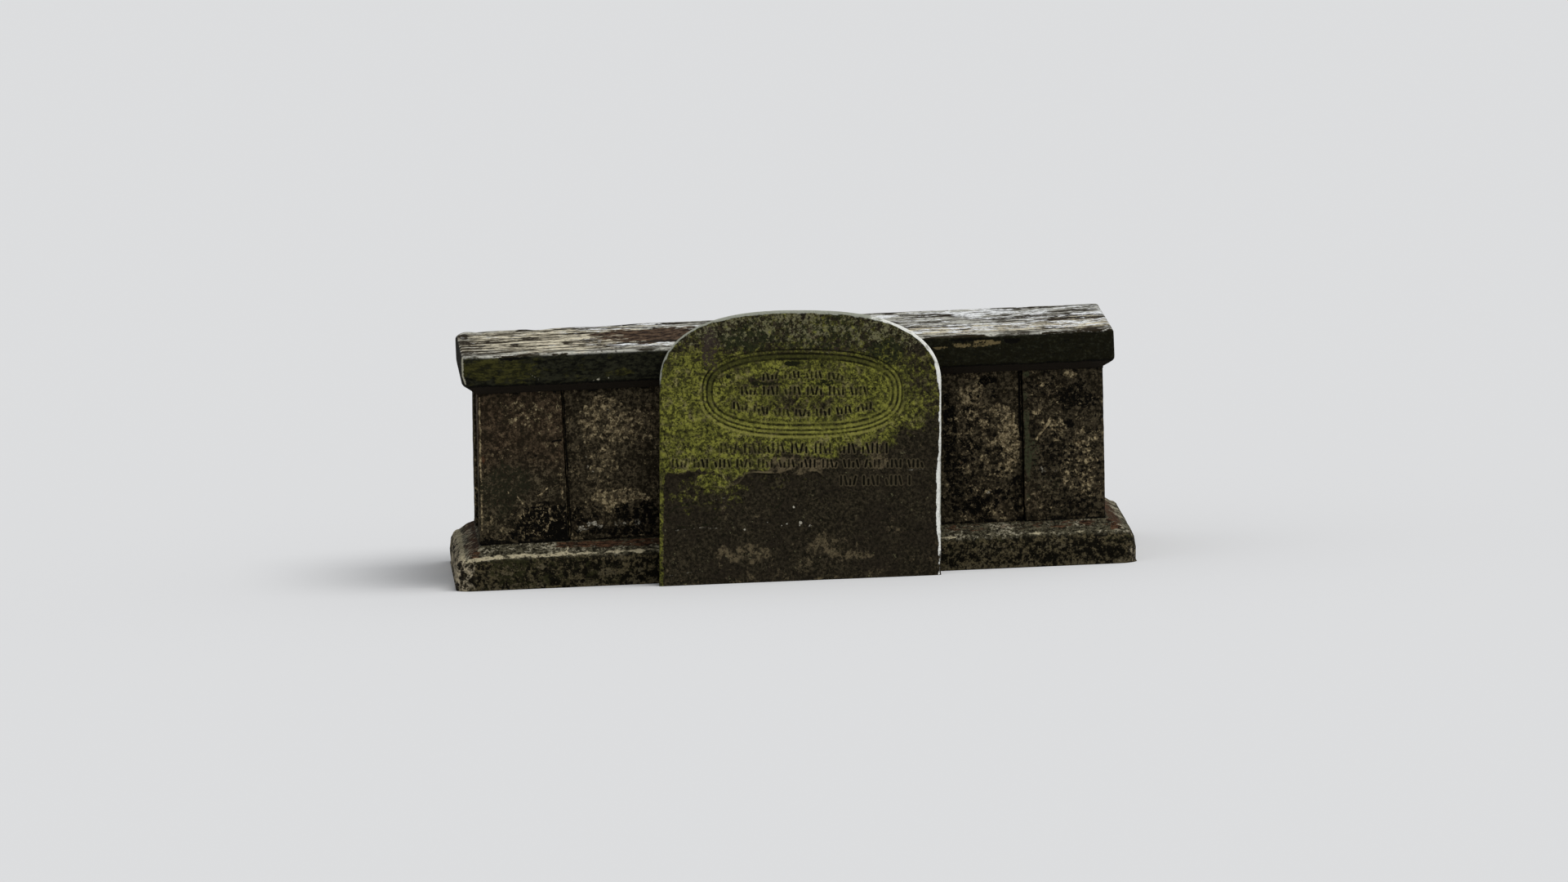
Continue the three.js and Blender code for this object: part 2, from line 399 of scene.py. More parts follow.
# What shows on the front faces, in millimetres along X and up Z: ellipses as in spots, lines as in scars.
chestFeatures = {
    "pier_front_left": {
        "level": {"pale": 0.27, "pitted": 0.14},
        "pale": [(-815, 528, 115, 50, 0.38), (-714, 530, 7, 60, 0.42), (-711, 320, 7, 80, 0.46),
                 (-770, 205, 95, 62, 0.56), (-905, 165, 60, 30, 0.42), (-940, 180, 25, 60, 0.40)],
        "dim": [(-885, 312, 100, 88, 0.52), (-905, 205, 70, 50, 0.40), (-755, 320, 40, 50, 0.30)],
        "pitted": [(-765, 205, 105, 66, 0.60), (-715, 158, 70, 45, 0.66), (-830, 160, 60, 26, 0.55),
                   (-800, 405, 26, 12, 0.40), (-905, 152, 70, 14, 0.45)],
        "rust": [(-948, 395, 9, 18, 0.6), (-790, 392, 60, 10, 0.25), (-880, 265, 30, 12, 0.25)],
        "paleScars": [(4.5, 0.7, [(-785, 281), (-768, 289), (-752, 300)]),
                      (4.5, 0.6, [(-848, 277), (-828, 253)]), (5.5, 0.7, [(-846, 314), (-838, 311)]),
                      (3.0, 0.3, [(-915, 293), (-895, 305), (-878, 317)]),
                      (4.0, 0.75, [(-960, 180), (-956, 380), (-953, 590)])],
        "darkLinesAndShadow": [(5.0, 0.9, [(-731, 444), (-716, 447), (-704, 446)])],
        "warmFrom": 380,
    },
    "panel_front": {
        "level": {"pale": 0.30, "pitted": 0.20},
        "pale": [(-568, 536, 84, 52, 0.54), (-530, 470, 62, 52, 0.47), (-620, 505, 60, 60, 0.42),
                 (-525, 262, 120, 28, 0.54), (-570, 232, 66, 34, 0.50), (-600, 400, 95, 120, 0.38),
                 (555, 530, 50, 54, 0.56), (672, 400, 36, 124, 0.60), (640, 475, 38, 38, 0.50),
                 (655, 300, 30, 38, 0.54), (590, 325, 30, 30, 0.48), (590, 400, 110, 150, 0.42),
                 (600, 226, 18, 11, 0.62), (520, 440, 44, 64, 0.38), (560, 240, 90, 50, 0.38)],
        "white": [(-652, 170, 24, 13, 0.42), (-632, 182, 9, 10, 0.48), (-614, 182, 11, 11, 0.50),
                  (-598, 174, 13, 10, 0.44), (-532, 184, 30, 14, 0.34), (-483, 182, 14, 12, 0.42),
                  (-627, 359, 5, 6, 0.46), (-612, 342, 6, 4, 0.46), (-660, 371, 7, 4, 0.42),
                  (-631, 390, 3, 10, 0.42), (-560, 530, 12, 9, 0.34), (600, 226, 9, 6, 0.45)],
        "pitted": [(-455, 200, 55, 62, 0.56), (-540, 160, 170, 20, 0.50), (-640, 210, 66, 46, 0.44),
                   (-500, 215, 75, 44, 0.46), (620, 576, 32, 17, 0.54), (488, 380, 26, 230, 0.50),
                   (570, 205, 125, 62, 0.50), (602, 352, 15, 17, 0.56), (600, 400, 110, 190, 0.40),
                   (540, 320, 66, 96, 0.46), (690, 220, 34, 74, 0.50)],
        "rust": [(-580, 606, 150, 5, 0.5), (600, 606, 110, 6, 0.35), (530, 325, 18, 8, 0.3)],
        # Dark lines by the piers' joints and a scar; the line at x -415 is a painted shadow of the
        # gravestone.
        "darkLinesAndShadow": [(13, 0.85, [(-699, 600), (-697, 380), (-693, 150)]),
                      (9, 0.75, [(712, 600), (708, 400)]), (6, 0.5, [(708, 400), (706, 180)]),
                      (14, 0.35, [(-415, 600), (-412, 150)]), (3.0, 0.7, [(500, 338), (545, 342)])],
    },
    "pier_front_right": {
        "level": {"pale": 0.27, "pitted": 0.36},
        "pale": [(868, 580, 22, 15, 0.60), (760, 472, 18, 15, 0.58), (776, 440, 9, 22, 0.50),
                 (885, 300, 80, 125, 0.46), (822, 410, 28, 44, 0.50), (842, 270, 20, 28, 0.52),
                 (775, 560, 15, 24, 0.46)],
        "white": [(772, 292, 13, 10, 0.36), (812, 284, 9, 6, 0.34), (872, 584, 12, 8, 0.34)],
        "pitted": [(885, 515, 80, 50, 0.52), (860, 430, 19, 15, 0.56), (803, 345, 27, 48, 0.50),
                   (785, 545, 70, 46, 0.44), (860, 180, 100, 44, 0.46)],
        "green": [(731, 589, 18, 14, 0.6), (726, 380, 12, 170, 0.56), (750, 350, 18, 44, 0.44),
                  (790, 250, 54, 28, 0.34)],
        "rust": [(885, 375, 12, 6, 0.4), (938, 230, 8, 8, 0.4)],
        "paleScars": [(7.0, 0.75, [(756, 386), (775, 411), (790, 431), (803, 448)])],
    },
}
plainFace = {"level": {"pale": 0.30, "pitted": 0.24}}


def chestStone():
    # Brown grit with beige lichen that spreads in specks, black pits near the foot and a few white crusts.
    kit = NodeKit("chest_stone", chestLook)
    cool = kit.mottle(0.011, "cool", 0.43, 0.60)
    warm = kit.mottle(0.011, "warm", 0.42, 0.63)
    colour = kit.blend(kit.mark("warm"), cool, warm)
    colour = kit.cloud(colour, "shade", 0.060, 6, 0.70, 3.1, 0.40, 0.62, 0.5)
    pale = kit.mottle(0.011, "pale", 0.43, 0.62, 5.1)
    colour = kit.grow(colour, "pale", 0.015, 0.065, 7.7, pale)
    colour = kit.grit(colour, "coolDark", 0.011, 2.1)
    pits = kit.cover(kit.noise(0.013, 4, 0.74, 1.3), kit.mark("pitted"), 0.04)
    # The marks include painted shade under the lid and a painted shadow of the gravestone.
    colour = kit.paint(kit.blend(pits, colour, "pits"))
    hollows = kit.bump(kit.sums("MULTIPLY", pits, -1.0), 0.8, 0.005)
    return kit.finish(colour, kit.grain(0.9, 0.9, hollows))


def rackAt(z):
    # Sideways shift of the leaning chest, straight from its foot to its top.
    return chest["rack"] * ((z - chest["foot"]) / (chest["top"] - chest["foot"]) - 0.5)


def chestWear(name, points, normals, seed):
    # Shallow hollows, grain and pits, deepest near the foot, and the marks that the colour reads.
    features = chestFeatures.get(name, plainFace)
    level = features["level"]
    a, b = points[:, 0] / mm, points[:, 2] / mm
    onFront = smooth(0.4, 0.8, -normals[:, 1])
    edge = 1 - np.max(np.abs(normals[:, :2]), axis=1)

    def drawn(kind):
        return onFront * spots(a, b, features.get(kind, []), points, seed + 71)

    low = smooth(330, 160, b + 50 * roughNoise(points, 0.16, seed + 5, 3))
    low = low * (1 - onFront * (name in chestFeatures))
    patch = roughNoise(points, 0.12, seed + 23, 4, stretch=(1, 1, 1.4))
    run = roughNoise(points, 0.04, seed + 29, 3, stretch=(1, 1, 7))
    # Dark lines and a painted shadow of the gravestone, also cut in as shallow grooves.
    darkLinesAndShadow = onFront * scars(a, b, features.get("darkLinesAndShadow", []), points, seed + 73)
    paleScars = onFront * scars(a, b, features.get("paleScars", []), points, seed + 79)
    pale = np.maximum(level["pale"] + 0.14 * patch + 0.05 * run + 0.12 * low, drawn("pale") + 0.05 * patch)
    pitted = np.maximum(level["pitted"] + 0.30 * low - 0.10 * patch, drawn("pitted") + 0.04 * run)
    # Painted shade under the lid, and darker towards the foot, both frayed by noise.
    ragged = 9 * roughNoise(points, 0.05, seed + 31, 3)
    shade = smooth(584, 600, b + ragged) * 0.52 + 0.62 * smooth(152, 136, b + ragged)
    warm = smooth(-70, 60, b - features.get("warmFrom", 900) + 45 * patch) + 0.3 * smooth(0, 0.8, patch)
    marks = {
        "pale": np.maximum(pale, paleScars),
        "pitted": pitted * (1 - paleScars),
        "warm": np.minimum(warm, 1),
        "dim": drawn("dim"),
        "white": drawn("white"),
        "green": drawn("green") + 0.25 * low * smooth(0.1, 0.7, patch) * (1 - onFront),
        "rust": drawn("rust"),
        "darkMarksAndShade": np.maximum(shade, darkLinesAndShadow),
    }
    hollows = raisedNoise(points, 0.20, seed, 3)
    grain = raisedNoise(points, 0.024, seed + 11, 3, gain=0.7)
    pits = smooth(0.05, 0.6, roughNoise(points, 0.017, seed + 17, 2)) * smooth(0.25, 0.6, pitted)
    chips = smooth(0.15, 0.7, roughNoise(points, 0.05, seed + 41, 4)) * smooth(0.03, 0.15, edge)
    wear = 1.8 * hollows + 0.9 * grain + 2.2 * pits + 3.0 * chips + 2.5 * darkLinesAndShadow - 1.2 * drawn("white")
    return np.maximum(wear, 0) * mm, marks


def weatheredBlock(name, foot, top, front, back, cells, material):
    # An upright block: its four sides run straight from foot to top, then are worn back along their normals.
    # The cells are counted up it, then along its right, back, left and front.
    up, *counts = cells
    z = np.linspace(chest["foot"] + chest["bedGap"], chest["top"] - chest["bedGap"], up + 1)
    t = (z - z[0]) / (z[-1] - z[0])
    left = foot[0] + (top[0] - foot[0]) * t + rackAt(z)
    right = foot[1] + (top[1] - foot[1]) * t + rackAt(z)
    columns = sweepColumns(counts, chest["cornerSteps"])
    wall = sweptRows(columns, z, left, right, front, back, chest["arris"])
    # The bed faces close on one point in their middle, because the front and back differ in their cells.
    pole = np.tile([0.5, 0.5, 0.0, 0.0], (len(columns), 1))
    lids = [sweptRows(pole, z[[k]], left[k], right[k], front, back, 0) for k in (0, -1)]
    grid = np.concatenate([lids[0], wall, lids[1]])
    points, triangles = welded(grid.reshape(-1, 3), gridTriangles(len(grid), len(columns), True))
    normals = pointNormals(points, triangles)
    wear, marks = chestWear(name, points, normals, blockSeeds[name])
    wear = np.where(np.abs(normals[:, 2]) > 0.9, 0, wear)
    points = points - normals * wear[:, None] * np.array([1, 1, 0])
    makePiece(name, points, triangles, material, marks)


def makeChest(material):
    # Piers stand at the corners and panels are set back between them. Hidden faces have few cells.
    half, deep, gap = chest["halfLength"], chest["halfWidth"], chest["jointGap"]
    for name, widths in pierWidths.items():
        atLeft, atFront = name.endswith("left"), "front" in name
        foot, top = [(-half, width - half) if atLeft else (half - width, half) for width in widths]
        depth = (-deep, chest["pierDepth"] - deep) if atFront else (deep - chest["pierDepth"], deep)
        right, left = (6, 50) if atLeft else (50, 6)
        back, front = (8, 80) if atFront else (60, 8)
        weatheredBlock(name, foot, top, *depth, (132, right, back, left, front), material)
    outer, thick = deep - chest["recess"], chest["panelThickness"]
    for face, depth, cells in (("front", (-outer, thick - outer), (132, 4, 16, 4, 380)),
                               ("back", (outer - thick, outer), (90, 4, 260, 4, 16))):
        between = [(pierWidths[f"pier_{face}_left"][k] - half + gap,
                    half - pierWidths[f"pier_{face}_right"][k] - gap) for k in (0, 1)]
        weatheredBlock(f"panel_{face}", *between, *depth, cells, material)
    reach, outer = deep - chest["pierDepth"] - gap, half - chest["recess"]
    for end, sides, cells in (("left", (-outer, thick - outer), (100, 6, 4, 90, 4)),
                              ("right", (outer - thick, outer), (100, 90, 4, 6, 4))):
        weatheredBlock(f"panel_end_{end}", sides, sides, -reach, reach, cells, material)


# Ledger

ledger = {
    "top": 0.722,
    "fasciaFoot": 0.625,
    "bed": 0.600,
    "overhang": 0.040,
    "corner": 0.014,
    "cornerSteps": 4,
    "arris": 0.009,
    "rim": 0.010,  # width of the ring between the arris and the even lattice of the top
    "step": 0.0055,
    "along": 340,
    "across": 150,
}
ledgerLook = {
    "sideDark": (0.0042, 0.0042, 0.0027),
    "side": (0.025, 0.025, 0.0140),
    "greenDark": (0.017, 0.0165, 0.0052),
    "green": (0.052, 0.049, 0.0125),
    "coolDark": (0.085, 0.080, 0.062),
    "cool": (0.56, 0.55, 0.48),
    "warmDark": (0.105, 0.088, 0.054),
    "warm": (0.82, 0.73, 0.52),
    "streak": (0.026, 0.019, 0.011),
    "lichen": (0.90, 0.91, 0.90),
    "litterDark": (0.018, 0.010, 0.006),
    "litter": (0.122, 0.078, 0.047),
    "marks": {
        # Dark tone for darker patches and for painted shade on the left end.
        "dim": (0.0085, 0.0078, 0.0032),
        # Painted shade on the undercut beneath the fascia, also a dark line on the top.
        "under": (0.014, 0.011, 0.0075),
        "gold": (0.165, 0.126, 0.058),
        "white": (0.42, 0.40, 0.30),
        # Near black for dark marks on the fascia and for the painted shade line under it.
        "darkMarksAndShade": (0.0040, 0.0036, 0.0026),
    },
}
# Millimetres along X and Y on the top
ledgerTopFeatures = {
    "streak": [(-780, 90, 32, 90, 0.62), (-830, -110, 16, 70, 0.62), (-670, -110, 16, 70, 0.62),
               (-750, -170, 90, 22, 0.62), (-780, 400, 40, 30, 0.66), (-730, 310, 30, 34, 0.62),
               (-680, 360, 26, 30, 0.60), (-600, 330, 30, 34, 0.62), (930, -418, 90, 18, 0.72),
               (730, -200, 34, 56, 0.5), (980, 90, 22, 34, 0.5), (-985, 0, 26, 440, 0.58),
               (-365, -205, 190, 16, 0.8)],
    "lichen": [(-445, -240, 120, 28, 0.82), (-400, -300, 110, 20, 0.62), (630, 295, 120, 155, 0.60),
               (330, 300, 36, 60, 0.74), (120, -60, 240, 110, 0.44), (420, -260, 170, 90, 0.46)],
    "warm": [(925, -160, 120, 240, 0.95), (760, -220, 300, 150, 0.75), (450, -220, 300, 150, 0.80),
             (-700, 0, 380, 420, 0.75)],
    "under": [(-350, -180, 200, 34, 0.62)],
    "litter": [(-375, 20, 215, 260, 0.95), (-300, -60, 120, 90, 0.98), (-520, 120, 90, 120, 0.62)],
}
# Millimetres along X and up Z on the front
ledgerFasciaFeatures = {
    "green": [(-885, 678, 140, 46, 0.60), (-920, 702, 40, 10, 0.72), (-840, 690, 16, 10, 0.72),
              (-525, 650, 54, 14, 0.50), (850, 670, 170, 50, 0.26)],
    "gold": [(474, 684, 28, 5, 0.60), (532, 688, 34, 5, 0.60), (590, 687, 30, 5, 0.56),
             (592, 699, 26, 5, 0.60), (630, 695, 34, 8, 0.66), (560, 689, 110, 11, 0.36),
             (-975, 670, 20, 26, 0.24)],
    "white": [(-585, 634, 5, 4, 0.8), (-556, 636, 4, 4, 0.7), (-600, 628, 5, 4, 0.7), (627, 697, 12, 4, 0.4)],
    "darkMarksAndShade": [(-840, 708, 44, 7, 0.85), (690, 697, 24, 9, 0.8), (560, 706, 110, 6, 0.7)],
}
ledgerPaleScars = [(5.5, 0.35, [(-832, 692), (-800, 664), (-768, 640)]), (3.0, 0.3, [(613, 677), (656, 677)])]


def ledgerStone():
    # Dark green-grey sides; a pale top with dark streaks, crisp white lichen and a patch of brown crumbs. The
    # sides' darkness and the top's paleness are partly painted light: shade on the sides, light on the top.
    kit = NodeKit("ledger_stone", ledgerLook)
    side = kit.mottle((0.022, 0.022, 0.009), "side", 0.38, 0.64)
    green = kit.mottle((0.034, 0.034, 0.014), "green", 0.42, 0.58, 5.7)
    side = kit.grow(side, "green", (0.034, 0.034, 0.016), 0.10, 2.3, green)
    cool, warm = (kit.mottle((0.130, 0.052, 0.060), tone, 0.40, 0.54) for tone in ("cool", "warm"))
    top = kit.blend(kit.mark("warm"), cool, warm)
    top = kit.grow(top, "streak", (0.120, 0.048, 0.060), 0.02, 4.1)
    top = kit.grow(top, "furrow", (0.300, 0.046, 0.060), 0.015, 8.3, "streak")
    top = kit.grow(top, "lichen", (0.080, 0.046, 0.055), 0.02, 6.3)
    top = kit.grit(top, "streak", 0.014, 3.3)
    crumbs = kit.mottle((0.034, 0.040, 0.040), "litter", 0.42, 0.60)
    top = kit.grow(top, "litter", (0.110, 0.060, 0.060), 0.04, 8.9, crumbs)
    # The pale top against the dark sides is partly painted light from above.
    colour = kit.paint(kit.blend(kit.mark("onTop"), side, top))
    return kit.finish(colour, kit.grain(0.8, 0.7))


def sweptCourse(profile, course):
    # A profile of (reach beyond the walls, height) carried round the chest.
    reach, z = profile.T
    across, along = course["across"], course["along"]
    columns = sweepColumns((across, along, across, along), course["cornerSteps"])
    half, deep = chest["halfLength"], chest["halfWidth"]
    radius = np.maximum(course["corner"] - (reach.max() - reach), 0.0)
    return columns, sweptRows(columns, z, -half - reach, half + reach, -deep - reach, deep + reach, radius)


def resampled(profile, step):
    # Points at even spacing along a profile, keeping its own corners.
    pieces = []
    for (r0, z0), (r1, z1) in zip(profile[:-1], profile[1:]):
        count = max(1, round(math.hypot(r1 - r0, z1 - z0) / step))
        t = np.arange(count) / count
        pieces.append(np.stack([r0 + (r1 - r0) * t, z0 + (z1 - z0) * t], axis=1))
    return np.concatenate(pieces + [np.array(profile[-1:])])


def flatLattice(left, right, front, back, z, along, across):
    # Even grid of points from left to right and front to back at one height.
    x = np.linspace(left, right, along + 1)
    y = np.linspace(front, back, across + 1)
    grid = np.stack(np.broadcast_arrays(x[None, :], y[:, None], np.full((1, 1), z)), axis=2)
    return grid.reshape(-1, 3)


def ledgerShape():
    # The rim's profile is swept round, and its last ring is squared off to meet the top's even lattice.
    out, top, foot, bed = ledger["overhang"], ledger["top"], ledger["fasciaFoot"], ledger["bed"]
    profile = resampled([(0.0, bed), (out - 0.006, foot - 0.003), (out - 0.001, foot + 0.003),
                         (out, foot + 0.012), (out, top - 0.010), (out - 0.003, top - 0.003),
                         (out - ledger["arris"], top)], ledger["step"])
    along, across = ledger["along"], ledger["across"]
    columns, rows = sweptCourse(profile, ledger)
    lastReach = out - ledger["arris"] - ledger["rim"]
    half, deep = chest["halfLength"] + lastReach, chest["halfWidth"] + lastReach
    ring = sweptRows(columns, np.array([top]), -half, half, -deep, deep, 0)
    middle = columns.copy()
    middle[:, 1] = 0.5
    under = sweptRows(middle, np.array([bed]), -chest["halfLength"], chest["halfLength"], 0, 0, 0)
    grid = np.concatenate([under, rows, ring])
    lattice = flatLattice(-half, half, -deep, deep, top, along, across)
    return welded(np.concatenate([grid.reshape(-1, 3), lattice]), np.concatenate([
        gridTriangles(len(grid), len(columns), True),
        gridTriangles(across + 1, along + 1, False, grid.shape[0] * grid.shape[1])]))


def makeLedger(material):
    points, triangles = ledgerShape()
    normals = pointNormals(points, triangles)
    x, y, z = points.T
    top = ledger["top"]
    reachX, reachY = (chest[key] + ledger["overhang"] for key in ("halfLength", "halfWidth"))
    onTop = smooth(top - 0.007, top - 0.002, z) * smooth(0.1, 0.6, normals[:, 2])
    onFront = smooth(0.3, 0.7, -normals[:, 1]) * (1 - onTop)

    def topSpots(kind, seed):
        return onTop * spots(x / mm, y / mm, ledgerTopFeatures[kind], points, seed)

    def frontSpots(kind, seed):
        return onFront * spots(x / mm, z / mm, ledgerFasciaFeatures[kind], points, seed)

    # Bedding runs lengthwise in shelves and furrows. The ends and the back edge keep their line.
    shelves = terraces(raisedNoise(points, 0.08, 31, 4, stretch=(3.5, 1, 1)), 4)
    furrows = ridgeNoise(points, 0.06, 37, 3, stretch=(4, 1, 1)) ** 3
    dishes = raisedNoise(points, 0.30, 41, 3)
    grain = raisedNoise(points, 0.022, 43, 3, gain=0.6)
    lengthPatch = roughNoise(points, 0.13, 45, 4, stretch=(2, 1, 1))
    litter = topSpots("litter", 47)
    streak = np.maximum(0.31 + 0.20 * lengthPatch + 0.24 * furrows, topSpots("streak", 51))
    lichenLevel = 0.36 - 0.16 * lengthPatch + 0.06 * smooth(0.3, 0.7, x) - 0.14 * smooth(-0.55, -0.75, x)
    lichen = np.maximum(lichenLevel, topSpots("lichen", 57))
    lichen = lichen * (1 - smooth(0.2, 0.7, litter)) * smooth(-0.385, -0.33, y)
    crumbs = roughNoise(points, 0.018, 61, 3, stretch=(2, 1, 1))
    wearTop = 1.1 * dishes + 1.3 * (1 - shelves) + 1.1 * furrows + 0.6 * grain + litter * (0.6 + 0.9 * crumbs)
    fromBack = np.minimum(reachX - np.abs(x), reachY - y)
    fromEdge = np.minimum(fromBack, reachY + y)
    kept = 0.35 + 0.65 * smooth(0.0, 0.05, fromBack)
    layers = terraces(raisedNoise(points, 0.05, 67, 3, stretch=(8, 8, 1)), 3)
    wearSide = 1.6 * dishes + 0.7 * grain + 0.9 * (1 - layers)
    arris = np.exp(-((z - top) / 0.012) ** 2) * np.exp(-(fromEdge / 0.014) ** 2)
    chips = smooth(0.1, 0.7, roughNoise(points, 0.06, 71, 4, stretch=(1.8, 1.8, 1)))
    gold, darkMarksAndShade = frontSpots("gold", 73), frontSpots("darkMarksAndShade", 79)
    wear = kept * (onTop * wearTop + (1 - onTop) * wearSide + arris * (1.0 + 4.5 * chips))
    wear = wear + 3.0 * smooth(0.3, 0.8, gold) + 2.2 * darkMarksAndShade
    wear = np.where(z < ledger["bed"] + 0.0005, 0, np.maximum(wear, 0))
    points = points - normals * (wear * mm)[:, None]
    # The back left arris is rounded off and the front left lower corner is broken away.
    backGone = np.exp(-((y - reachY) / 0.10) ** 2) * smooth(0.66, 0.72, z)
    raggedBack = 0.6 + 0.4 * roughNoise(points, 0.09, 99, 3)
    points[:, 2] -= backGone * (0.012 * np.exp(-((x + reachX) / 0.022) ** 2)
                                + 0.007 * smooth(-0.40, -0.62, x) * smooth(-0.99, -0.93, x) * raggedBack)
    cornerGone = np.exp(-(np.hypot(x + reachX, y + reachY) / 0.05) ** 2)
    cornerGone = cornerGone * smooth(0.665, 0.63, z) * smooth(0.600, 0.612, z)
    points[:, :2] += cornerGone[:, None] * np.array([0.008, 0.008])
    sideGreen = 0.20 + 0.20 * roughNoise(points, 0.12, 89, 3) + 0.16 * smooth(-0.5, -0.9, x)
    paleScars = onFront * scars(x / mm, z / mm, ledgerPaleScars, points, 83)
    # A painted shade line under the fascia's lower edge.
    shakenZ = z + 0.002 * roughNoise(points, 0.04, 97, 3)
    shadeLineUnderFascia = 0.62 * smooth(0.631, 0.627, shakenZ) * smooth(0.617, 0.622, shakenZ)
    # The left end gets painted shade, with a painted highlight down its front corner.
    leftEndShade = smooth(0.6, 0.9, -normals[:, 0])
    cornerHighlight = smooth(0.95, 0.45, np.abs(normals[:, 0] - normals[:, 1])) * smooth(0.3, 0.5, -normals[:, 0])
    cornerHighlight = cornerHighlight * smooth(0.625, 0.640, z) * (0.74 + 0.2 * roughNoise(points, 0.03, 101, 3))
    marks = {
        "onTop": np.maximum(onTop, 0.35 * arris * smooth(0.15, 0.5, normals[:, 2])),
        "lichen": lichen,
        "streak": streak,
        "litter": litter,
        "furrow": (0.41 + 0.14 * roughNoise(points, 0.25, 95, 3)) * (1 - litter),
        # Painted shade on the undercut under the fascia, and a dark line in front of the crumbs on the top.
        "under": np.maximum(0.9 * smooth(0.626, 0.620, shakenZ), topSpots("under", 103)),
        # Darker on the right of the front, and painted shade on the left end.
        "dim": np.maximum(0.55 * onFront * smooth(0.30, 0.50, x), 0.8 * leftEndShade),
        "green": np.maximum(sideGreen, frontSpots("green", 87)),
        "warm": topSpots("warm", 91),
        "gold": gold,
        # White crusts and pale scars, and the painted highlight down the front left corner.
        "white": np.maximum(frontSpots("white", 93), np.maximum(paleScars, cornerHighlight)),
        "darkMarksAndShade": np.maximum(darkMarksAndShade, shadeLineUnderFascia),
    }
    makePiece("ledger", points, triangles, material, marks)


# Plinth

plinth = {
    "top": 0.134,
    "fall": 0.030,
    "reach": 0.084,
    "nose": 0.062,
    "corner": 0.058,
    "cornerSteps": 8,
    "step": 0.0045,
    "along": 420,
    "across": 180,
}
plinthLook = {
    "faceDark": (0.0050, 0.0042, 0.0020),
    "face": (0.104, 0.084, 0.044),
    "moss": (0.030, 0.029, 0.011),
    "slopeDark": (0.018, 0.0155, 0.009),
    "slope": (0.125, 0.112, 0.070),
    "crust": (0.42, 0.38, 0.27),
    "needleDark": (0.016, 0.009, 0.006),
    "needle": (0.125, 0.064, 0.034),
    # Pale ridge tone: worn stone and partly a painted highlight.
    "ridge": (0.56, 0.49, 0.32),
    "ribDark": (0.013, 0.010, 0.006),
    "rib": (0.54, 0.46, 0.31),
    "foot": (0.105, 0.087, 0.050),
}
# Millimetres along X and up Z on the front
plinthPaleSpots = [(-590, 40, 34, 22, 0.52), (-480, 45, 10, 10, 0.66), (-540, 90, 14, 10, 0.6),
                   (-780, 70, 18, 14, 0.6), (-890, 60, 60, 30, 0.40), (600, 55, 80, 26, 0.42),
                   (800, 70, 60, 24, 0.42)]
ridgeStalk = [(4.0, 0.8, [(-703, 108), (-698, 128)])]


def plinthStone():
    # Dark olive faces, a mottled slope with reddish needles by the wall, a pale ridge that is worn and partly
    # a painted highlight, and ribbed ends.
    kit = NodeKit("plinth_stone", plinthLook)
    face = kit.mottle(0.015, "face", 0.47, 0.60)
    face = kit.grow(face, "moss", 0.020, 0.08, 1.9)
    face = kit.grow(face, "pale", 0.011, 0.04, 5.3, "foot")
    slope = kit.mottle(0.012, "slope", 0.40, 0.60)
    slope = kit.grow(slope, "crust", 0.013, 0.05, 2.7)
    needles = kit.mottle((0.030, 0.007, 0.007), "needle", 0.40, 0.60)
    slope = kit.grow(slope, "needles", (0.030, 0.014, 0.014), 0.05, 7.1, needles)
    colour = kit.blend(kit.mark("slope"), face, slope)
    ribs = kit.mottle((0.016, 0.060, 0.024), "rib", 0.43, 0.57, 3.7)
    colour = kit.grow(colour, "ribs", (0.050, 0.030, 0.050), 0.08, 4.9, ribs)
    colour = kit.grow(colour, "ridge", (0.030, 0.016, 0.016), 0.06, 9.1)
    colour = kit.grit(colour, "faceDark", 0.012, 6.1)
    return kit.finish(colour, kit.grain(0.9, 1.0))


def plinthShape():
    # The front profile, from the ground over the worn nose and up the slope, swept round the chest.
    top, reach, nose = plinth["top"], plinth["reach"], plinth["nose"]
    ridge = top - plinth["fall"]
    profile = resampled([(reach, 0.0), (reach + 0.002, 0.045), (reach - 0.003, ridge - 0.026),
                         (nose + 0.010, ridge - 0.009), (nose, ridge), (nose - 0.012, ridge + 0.005),
                         (0.0, top), (-0.012, top)], plinth["step"])
    columns, rows = sweptCourse(profile, plinth)
    middle = columns.copy()
    middle[:, 1] = 0.5
    half = chest["halfLength"]
    lids = [sweptRows(middle, np.array([level]), -half, half, 0, 0, 0) for level in (0.0, top)]
    grid = np.concatenate([lids[0], rows, lids[1]])
    return welded(grid.reshape(-1, 3), gridTriangles(len(grid), len(columns), True))


